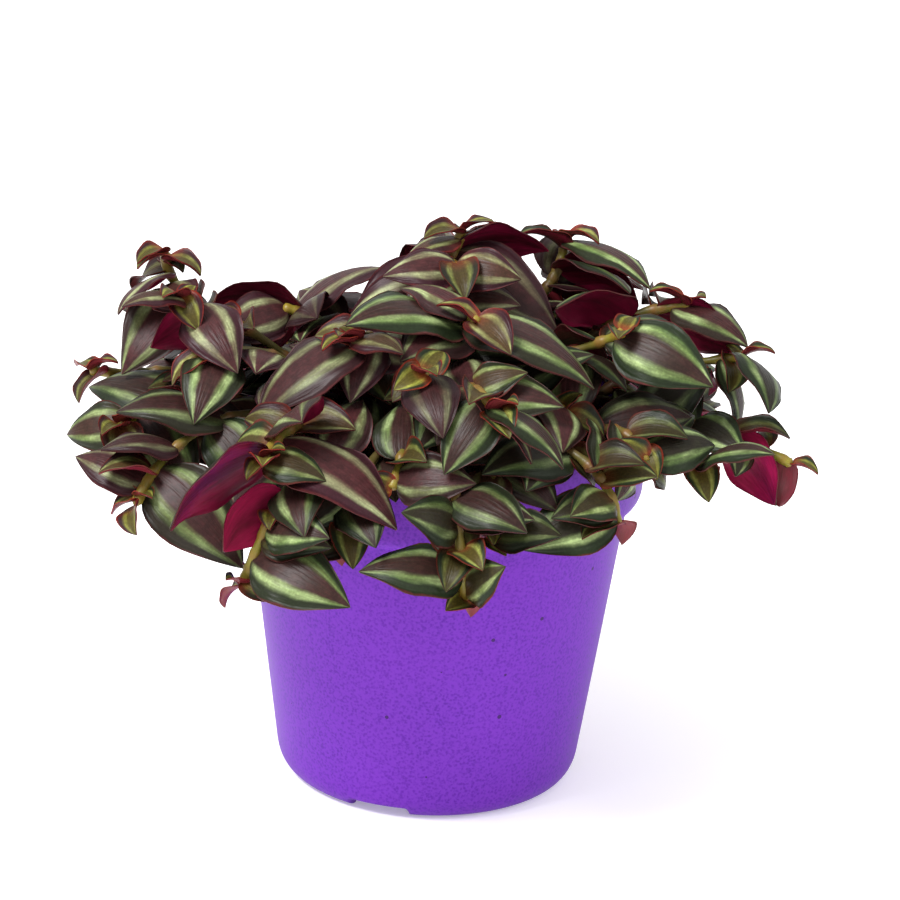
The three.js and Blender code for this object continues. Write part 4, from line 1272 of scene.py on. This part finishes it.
def in_bounds(points):
    """Whether all points lie inside the frame's box and the mound, which widens upwards:
    |x| ≤ half + flare·(z − foot)."""
    widest = MOUND_HALF + MOUND_FLARE * np.maximum(points[:, 2] - MOUND_FOOT, 0)
    in_box = (points >= BOX_LOW).all() and (points <= BOX_HIGH).all()
    return in_box and (np.abs(points[:, 0]) <= widest).all()


def clear_blade(stem, at, bearing, tilt, length, facing, seed, bends=BENDS):
    """The first bend that is in bounds and clear of all other stems' leaves and of the outer part
    of its sisters. None if there is no such bend."""
    base = stem_line(stem, at)
    for turn, lift, share in bends:
        blade = new_blade(base, bearing + turn, tilt + lift, length * share, facing, seed)
        whole = blade_shell(blade, CLEARANCE)
        if not in_bounds(whole) or room.meets(whole, SHELL_FACES, stem["name"], False):
            continue
        if room.meets(blade_shell(blade, 0, FREE_FROM), SHELL_FACES, stem["name"], True):
            continue
        blade["at"] = at
        return blade
    return None


def grow(stem, *how, depth=0.0, **more):
    """Adds a clear blade to its stem and to the room, and says whether there was one. A blade that
    lies deeper among the others gets painted shade: its tone is raised by that depth, which darkens it."""
    blade = clear_blade(stem, *how, **more)
    if blade is not None:
        blade["tone"] += depth
        room.add(stem["name"], blade_shell(blade), SHELL_FACES)
        stem["blades"].append(blade)
    return blade is not None


def outwards_from(stem, at):
    """The bearing from the pot's axis to the stem at that place, and a facing out and up."""
    base = stem_line(stem, at)
    facing = unit(np.array([*(0.6 * unit(base[:2] + 0.01)), 0.8]))
    return np.degrees(np.arctan2(base[1], base[0])), facing


def about(middle, spread, seed):
    """middle + spread·draw(seed)."""
    return middle + spread * draw(seed)


# %% Tufts of young leaves at the tips: turn from the stem's bearing, lift from its tilt, and length
TUFT = ((8, 20, 9.5), (-62, 10, 8.5), (66, 30, 7.5), (150, 20, 6.0), (-125, 30, 5.5))
TUFT_SEED = 500
TUFT_AT, TUFT_STEP = 0.99, 0.012
TUFT_LOWEST, TUFT_HIGHEST = -60, 14
UPRIGHT, FLAT = 50, -8
TUFT_BENDS = bends_at(1, 0.8, 0.65)
young = 0
for number, stem in enumerate(stems):
    bearing, tilt = heading_angles(stem, 1.0)
    highest = TUFT_HIGHEST if tilt < UPRIGHT else FLAT
    for i, (turn, lift, length) in enumerate(TUFT):
        rise = np.clip(tilt + lift, TUFT_LOWEST, highest)
        seed = TUFT_SEED + len(TUFT) * number + i
        at = TUFT_AT - TUFT_STEP * i
        young += grow(stem, at, bearing + turn, rise, length, UP, seed, bends=TUFT_BENDS)
print(young, "young leaves at the tips")

# %% Older leaves further down each stem, to the left and the right in turn
OLD_SEED, OLD_SEEDS = 1000, 20
OLD_FROM, OLD_STEP = 0.06, 0.065
OLD_LOWEST = 0.26
OLD_TURN, OLD_TILT, OLD_LENGTH = (42, 18), (-6, 14), (27, 5)
older = 0
for number, stem in enumerate(stems):
    first = min(blade["at"] for blade in stem["blades"])
    for i, at in enumerate(np.arange(first - OLD_FROM, OLD_LOWEST, -OLD_STEP)):
        seed = OLD_SEED + OLD_SEEDS * number + i
        _, facing = outwards_from(stem, at)
        bearing, _ = heading_angles(stem, at)
        side = 1 if (i + number) % 2 else -1
        # depth raises the tone of these lower leaves as painted shade
        older += grow(stem, at, bearing + side * about(*OLD_TURN, seed), about(*OLD_TILT, seed + 0.5),
                      about(*OLD_LENGTH, seed + 0.2), facing, seed, depth=0.5)
print(older, "older leaves")

# %% Leaves wherever there is still room for one
GAP_SEED, GAP_SEEDS = 3000, 40
GAP_TRIES = 22
GAP_AT, GAP_TURN, GAP_TILT, GAP_LENGTH = (0.64, 0.33), 105, (-18, 30), (18, 6)
GAP_BENDS = bends_at(1, 0.8, 0.64, offsets=OFFSETS[:9])
filling = 0
for number, stem in enumerate(stems):
    for i in range(GAP_TRIES):
        seed = GAP_SEED + GAP_SEEDS * number + i
        at = about(*GAP_AT, seed)
        bearing, facing = outwards_from(stem, at)
        # depth raises the tone of the gap leaves as painted shade
        filling += grow(stem, at, about(bearing, GAP_TURN, seed + 0.1), about(*GAP_TILT, seed + 0.5),
                        about(*GAP_LENGTH, seed + 0.2), facing, seed, bends=GAP_BENDS, depth=0.4)
print(filling, "leaves in the gaps")

# %% One piece for each leafy stem
for number, stem in enumerate(stems):
    blocks = [stem_block(stem, about(0.5, 0.5, number)), *map(blade_block, stem["blades"])]
    piece = make_piece(stem["name"].replace("stem", "shoot"), blocks, [leaf_upper, leaf_under, stem_skin])
    place_piece(piece, "plant", stem["name"])
print("leaves in all:", sum(len(stem["blades"]) for stem in stems))
